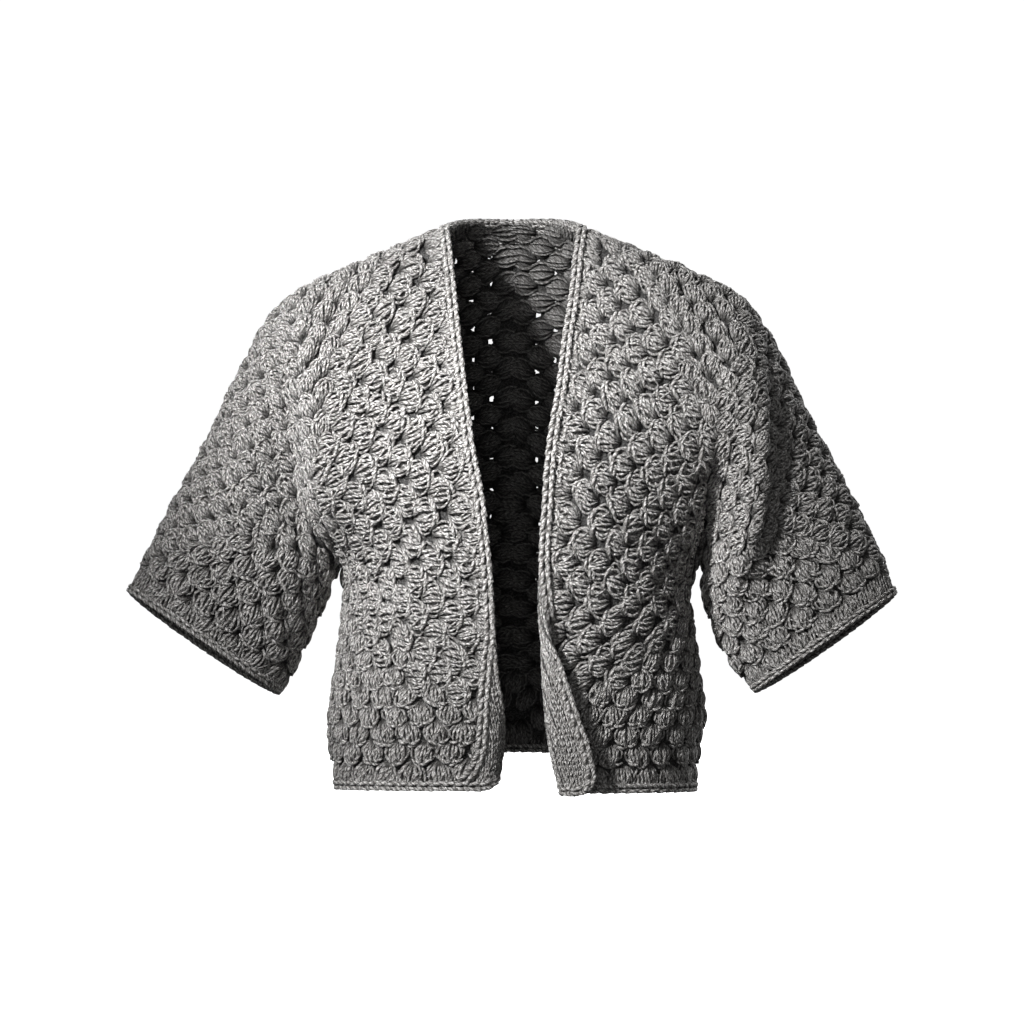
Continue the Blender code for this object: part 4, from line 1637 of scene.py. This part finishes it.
def add_stitches(cloth, grids, side, materials, open_faces, stitches):
    """The clusters of one half: for each panel, a mesh of strands for either face."""
    rng = np.random.default_rng(CLUSTER_SEEDS[side])
    sign, plain = (-1, PLAIN_WIDTH) if side == "right" else (1, 0.0)
    clusters = half_clusters(grids, plain)
    middles, across, growth, sizes, faces = thinned_and_relaxed(cloth, clusters, sign)
    places, normals = patches_of(cloth, middles, across, growth, sizes)
    centred = np.zeros((len(sizes), 1))
    holes = on_patches((places, normals), centred, centred + HOLE)[0][:, 0]
    on_back = np.char.startswith(cloth.pieces[faces].astype(str), "back")
    seen_through = on_back & (rng.uniform(NO_HOLES_BELOW, ALL_HOLES_ABOVE, len(sizes)) < holes[:, 2])
    open_faces.update(cloth.nearest(holes[seen_through])[2].tolist())
    panels = np.array([panel_of(piece, side) for piece in cloth.pieces[faces]])
    rolled = (panels == "front_left") & (middles[:, 0] < ROLLED_TO) & (middles[:, 2] < ROLLED_BELOW)
    for name in sorted(set(panels)):
        chosen = panels == name
        yarn, inner_yarn = Yarn(rng), Yarn(rng)
        maker = ClusterYarn((places[chosen], normals[chosen]), sizes[chosen], rng)
        maker.add_fan(yarn)
        maker.add_end_loops(yarn)
        maker.add_crossings(yarn)
        maker.add_wrong_side(inner_yarn, np.flatnonzero(~rolled[chosen]))
        for lot, kind in ((yarn, "clusters"), (inner_yarn, "inside")):
            made = lot.build(f"{name}_{kind}", materials[kind])
            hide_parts(name)
            stitches.setdefault(name, []).append(made)


def add_borders(cloth, grids, side, border_yarn, stitches):
    """The borders of one half: posts and plaits, and plain rows at the lower front corners."""
    rng = np.random.default_rng(BORDER_SEED)
    front, back, sleeve = grids["front"], grids["back"], grids["sleeve"]
    cuff = np.concatenate([sleeve, sleeve[:, :1]], axis=1)[: -BORDER_STEPS - 3 : -1]
    neck = back[: -FINE - 2 : -1, : NECK_COLUMNS + 1]
    strips = {
        f"front_band_{side}": [front[:, : BORDER_STEPS + 3]],
        f"hem_band_{side}": [grid[: BORDER_STEPS + 2].transpose(1, 0, 2) for grid in (front, back)],
        f"cuff_band_{side}": [cuff.transpose(1, 0, 2)],
        f"neck_rows_{side}": [neck.transpose(1, 0, 2)],
    }
    for name, grids_of_strip in strips.items():
        yarn = Yarn(rng)
        kind = name.split("_")[0]
        edge = {"front": FRONT_EDGE, "hem": HEM_EDGE}.get(kind, OTHER_EDGE)
        for grid in grids_of_strip:
            add_border(yarn, cloth, grid, NECK_ROWS if kind == "neck" else 0, edge, rng)
        if name == "front_band_left":
            levels = [(roll.taken + PLAIN_PAST_ROLL, roll.up + PLAIN_ABOVE_ROLL) for roll in LEFT["rolls"]]
            add_plain_rows(yarn, cloth, front, levels, -1, rng)
        if name == "front_band_right":
            levels = [(FRONT_BORDER, PLAIN_FROM), (FRONT_BORDER + PLAIN_WIDTH, PLAIN_FROM - PLAIN_OVER)]
            add_plain_rows(yarn, cloth, front, levels, 1, rng)
            add_corner_rope(yarn, cloth, front, rng)
        if name == "neck_rows_right":
            add_seam(yarn, cloth, back[: -FINE - 2, 0], rng)
        made = yarn.build(f"{name}_plaits", border_yarn)
        node = "neck_band" if kind == "neck" else name
        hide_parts(node)
        stitches.setdefault(node.replace("cuff_band", "sleeve"), []).append(made)


def add_sheets(cloth, halves, open_faces):
    """The cloth under the yarn, a sheet for each panel and border, open where the back is seen through."""
    # The sheets get the ground yarn, painted dark as shade under the clusters
    ground = ground_material("panel_ground_shaded")
    corners = cloth.points[cloth.faces]
    crossed = np.cross(corners[:, 2] - corners[:, 0], corners[:, 3] - corners[:, 1])
    areas = np.linalg.norm(crossed, axis=1) / 2
    sheets = np.char.replace(cloth.pieces.astype(str), "cuff_band", "sleeve")
    for name in sorted(set(sheets.tolist())):
        band = "band" in name
        own = np.flatnonzero(sheets == name)
        faces = np.array([face for face in own if band or face not in open_faces])
        used, numbers = np.unique(cloth.faces[faces], return_inverse=True)
        charts = cloth.charts[faces].reshape(-1, 2)
        maps = {"OFBake": charts / charts.max(), "Yarn": charts}
        sunk = cloth.points[used] - cloth.normals[used] * SUNK * (BAND_SUNK_SHARE if band else 1.0)
        sheet = quad_object(f"{name}_cloth", sunk, numbers.reshape(-1, 4), maps, ground)
        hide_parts(name)
        area = areas[own].sum()
        width, length = flat_size(name, halves["left" if name.endswith("left") else "right"], area)
        width * MM
        length * MM
        min(area, width * length) * MM**2


def build_garment():
    """The whole cardigan: its cloth's shape, its clusters and borders, and the sheets under them."""
    cloth = Cloth()
    halves = {"right": add_half(cloth, RIGHT, "right"), "left": add_half(cloth, LEFT, "left")}
    cloth.finish()
    border_yarn = yarn_material("border_yarn_strands", BORDER_LIGHTNESS)
    materials = {
        "clusters": yarn_material("panel_yarn_strands", 1.0),
        # The wrong side's yarn is a darker copy of the same yarn, painted shade inside the garment
        "inside": yarn_material("panel_yarn_inside_shaded", INSIDE_SHADED_LIGHTNESS),
    }
    open_faces = set()
    stitches = {}
    for side, grids in halves.items():
        add_stitches(cloth, grids, side, materials, open_faces, stitches)
        add_borders(cloth, grids, side, border_yarn, stitches)
    add_sheets(cloth, halves, open_faces)


def set_stage():
    """A pale round floor that curves up into a pale dome, so that every angle has a plain background."""
    profile = [(0.0, FLOOR_LEVEL)]
    for angle in np.linspace(0, np.pi / 2, 8):
        rise = FLOOR_BEND * (1 - np.cos(angle))
        profile.append((FLOOR_RADIUS + FLOOR_BEND * np.sin(angle), FLOOR_LEVEL + rise))
    for angle in np.linspace(0.1, np.pi / 2, 10):
        profile.append((DOME_RADIUS * np.cos(angle), DOME_BASE + DOME_HEIGHT * np.sin(angle)))
    turns = np.linspace(0, 2 * np.pi, DOME_SIDES, endpoint=False)
    points = [(r * np.cos(a), r * np.sin(a), z) for r, z in profile for a in turns]
    faces = []
    for ring in range(len(profile) - 1):
        for step in range(DOME_SIDES):
            following = (step + 1) % DOME_SIDES
            base, above = ring * DOME_SIDES, (ring + 1) * DOME_SIDES
            faces.append((base + step, base + following, above + following, above + step))
    mesh = bpy.data.meshes.new("studio_dome")
    mesh.from_pydata(points, [], faces)
    mesh.materials.append(studio_material("studio_white"))
    dome = bpy.data.objects.new("studio_dome", mesh)
    bpy.context.scene.collection.objects.link(dome)
    dome.visible_diffuse = False
    dome.visible_glossy = False
    dome.visible_shadow = False


def place_lamp(light, place, target):
    """A light at a place, turned towards its target."""
    lamp = bpy.data.objects.new(light.name, light)
    lamp.location = place
    lamp.rotation_mode = "QUATERNION"
    lamp.rotation_quaternion = (Vector(target) - Vector(place)).to_track_quat("-Z", "Y")
    bpy.context.scene.collection.objects.link(lamp)


def set_lights():
    """The keys from the upper left, the fills, and a little light from all round."""
    for key in KEYS:
        light = bpy.data.lights.new(key.name, "SPOT")
        light.energy = key.power
        light.spot_size = math.radians(KEY_ANGLE)
        light.spot_blend = 1.0
        light.shadow_soft_size = KEY_SIZE
        place_lamp(light, KEY_PLACE, key.target)
    for fill in FILLS:
        light = bpy.data.lights.new(fill.name, "AREA")
        light.shape = "DISK"
        light.size = fill.size
        light.energy = fill.power
        place_lamp(light, fill.place, FILL_TARGET)
    world = bpy.data.worlds.new("studio_air")
    world.use_nodes = True
    air = world.node_tree.nodes["Background"]
    air.inputs["Color"].default_value = grey(1.0)
    air.inputs["Strength"].default_value = AIR_LIGHT
    bpy.context.scene.world = world


def set_camera():
    """A level camera in front of the garment, where the photo's was."""
    camera = bpy.data.objects.new("camera", bpy.data.cameras.new("camera"))
    bpy.context.scene.collection.objects.link(camera)
    camera.location = CAMERA_PLACE
    camera.rotation_euler = (math.pi / 2, 0, 0)
    camera.data.sensor_width = SENSOR_WIDTH
    camera.data.lens = SENSOR_WIDTH * CAMERA_DISTANCE / PHOTO_WIDTH
    camera.data.clip_end = CLIP_END
    bpy.context.scene.camera = camera
    bpy.context.scene.view_settings.view_transform = "Standard"


build_garment()
set_stage()
set_lights()
set_camera()
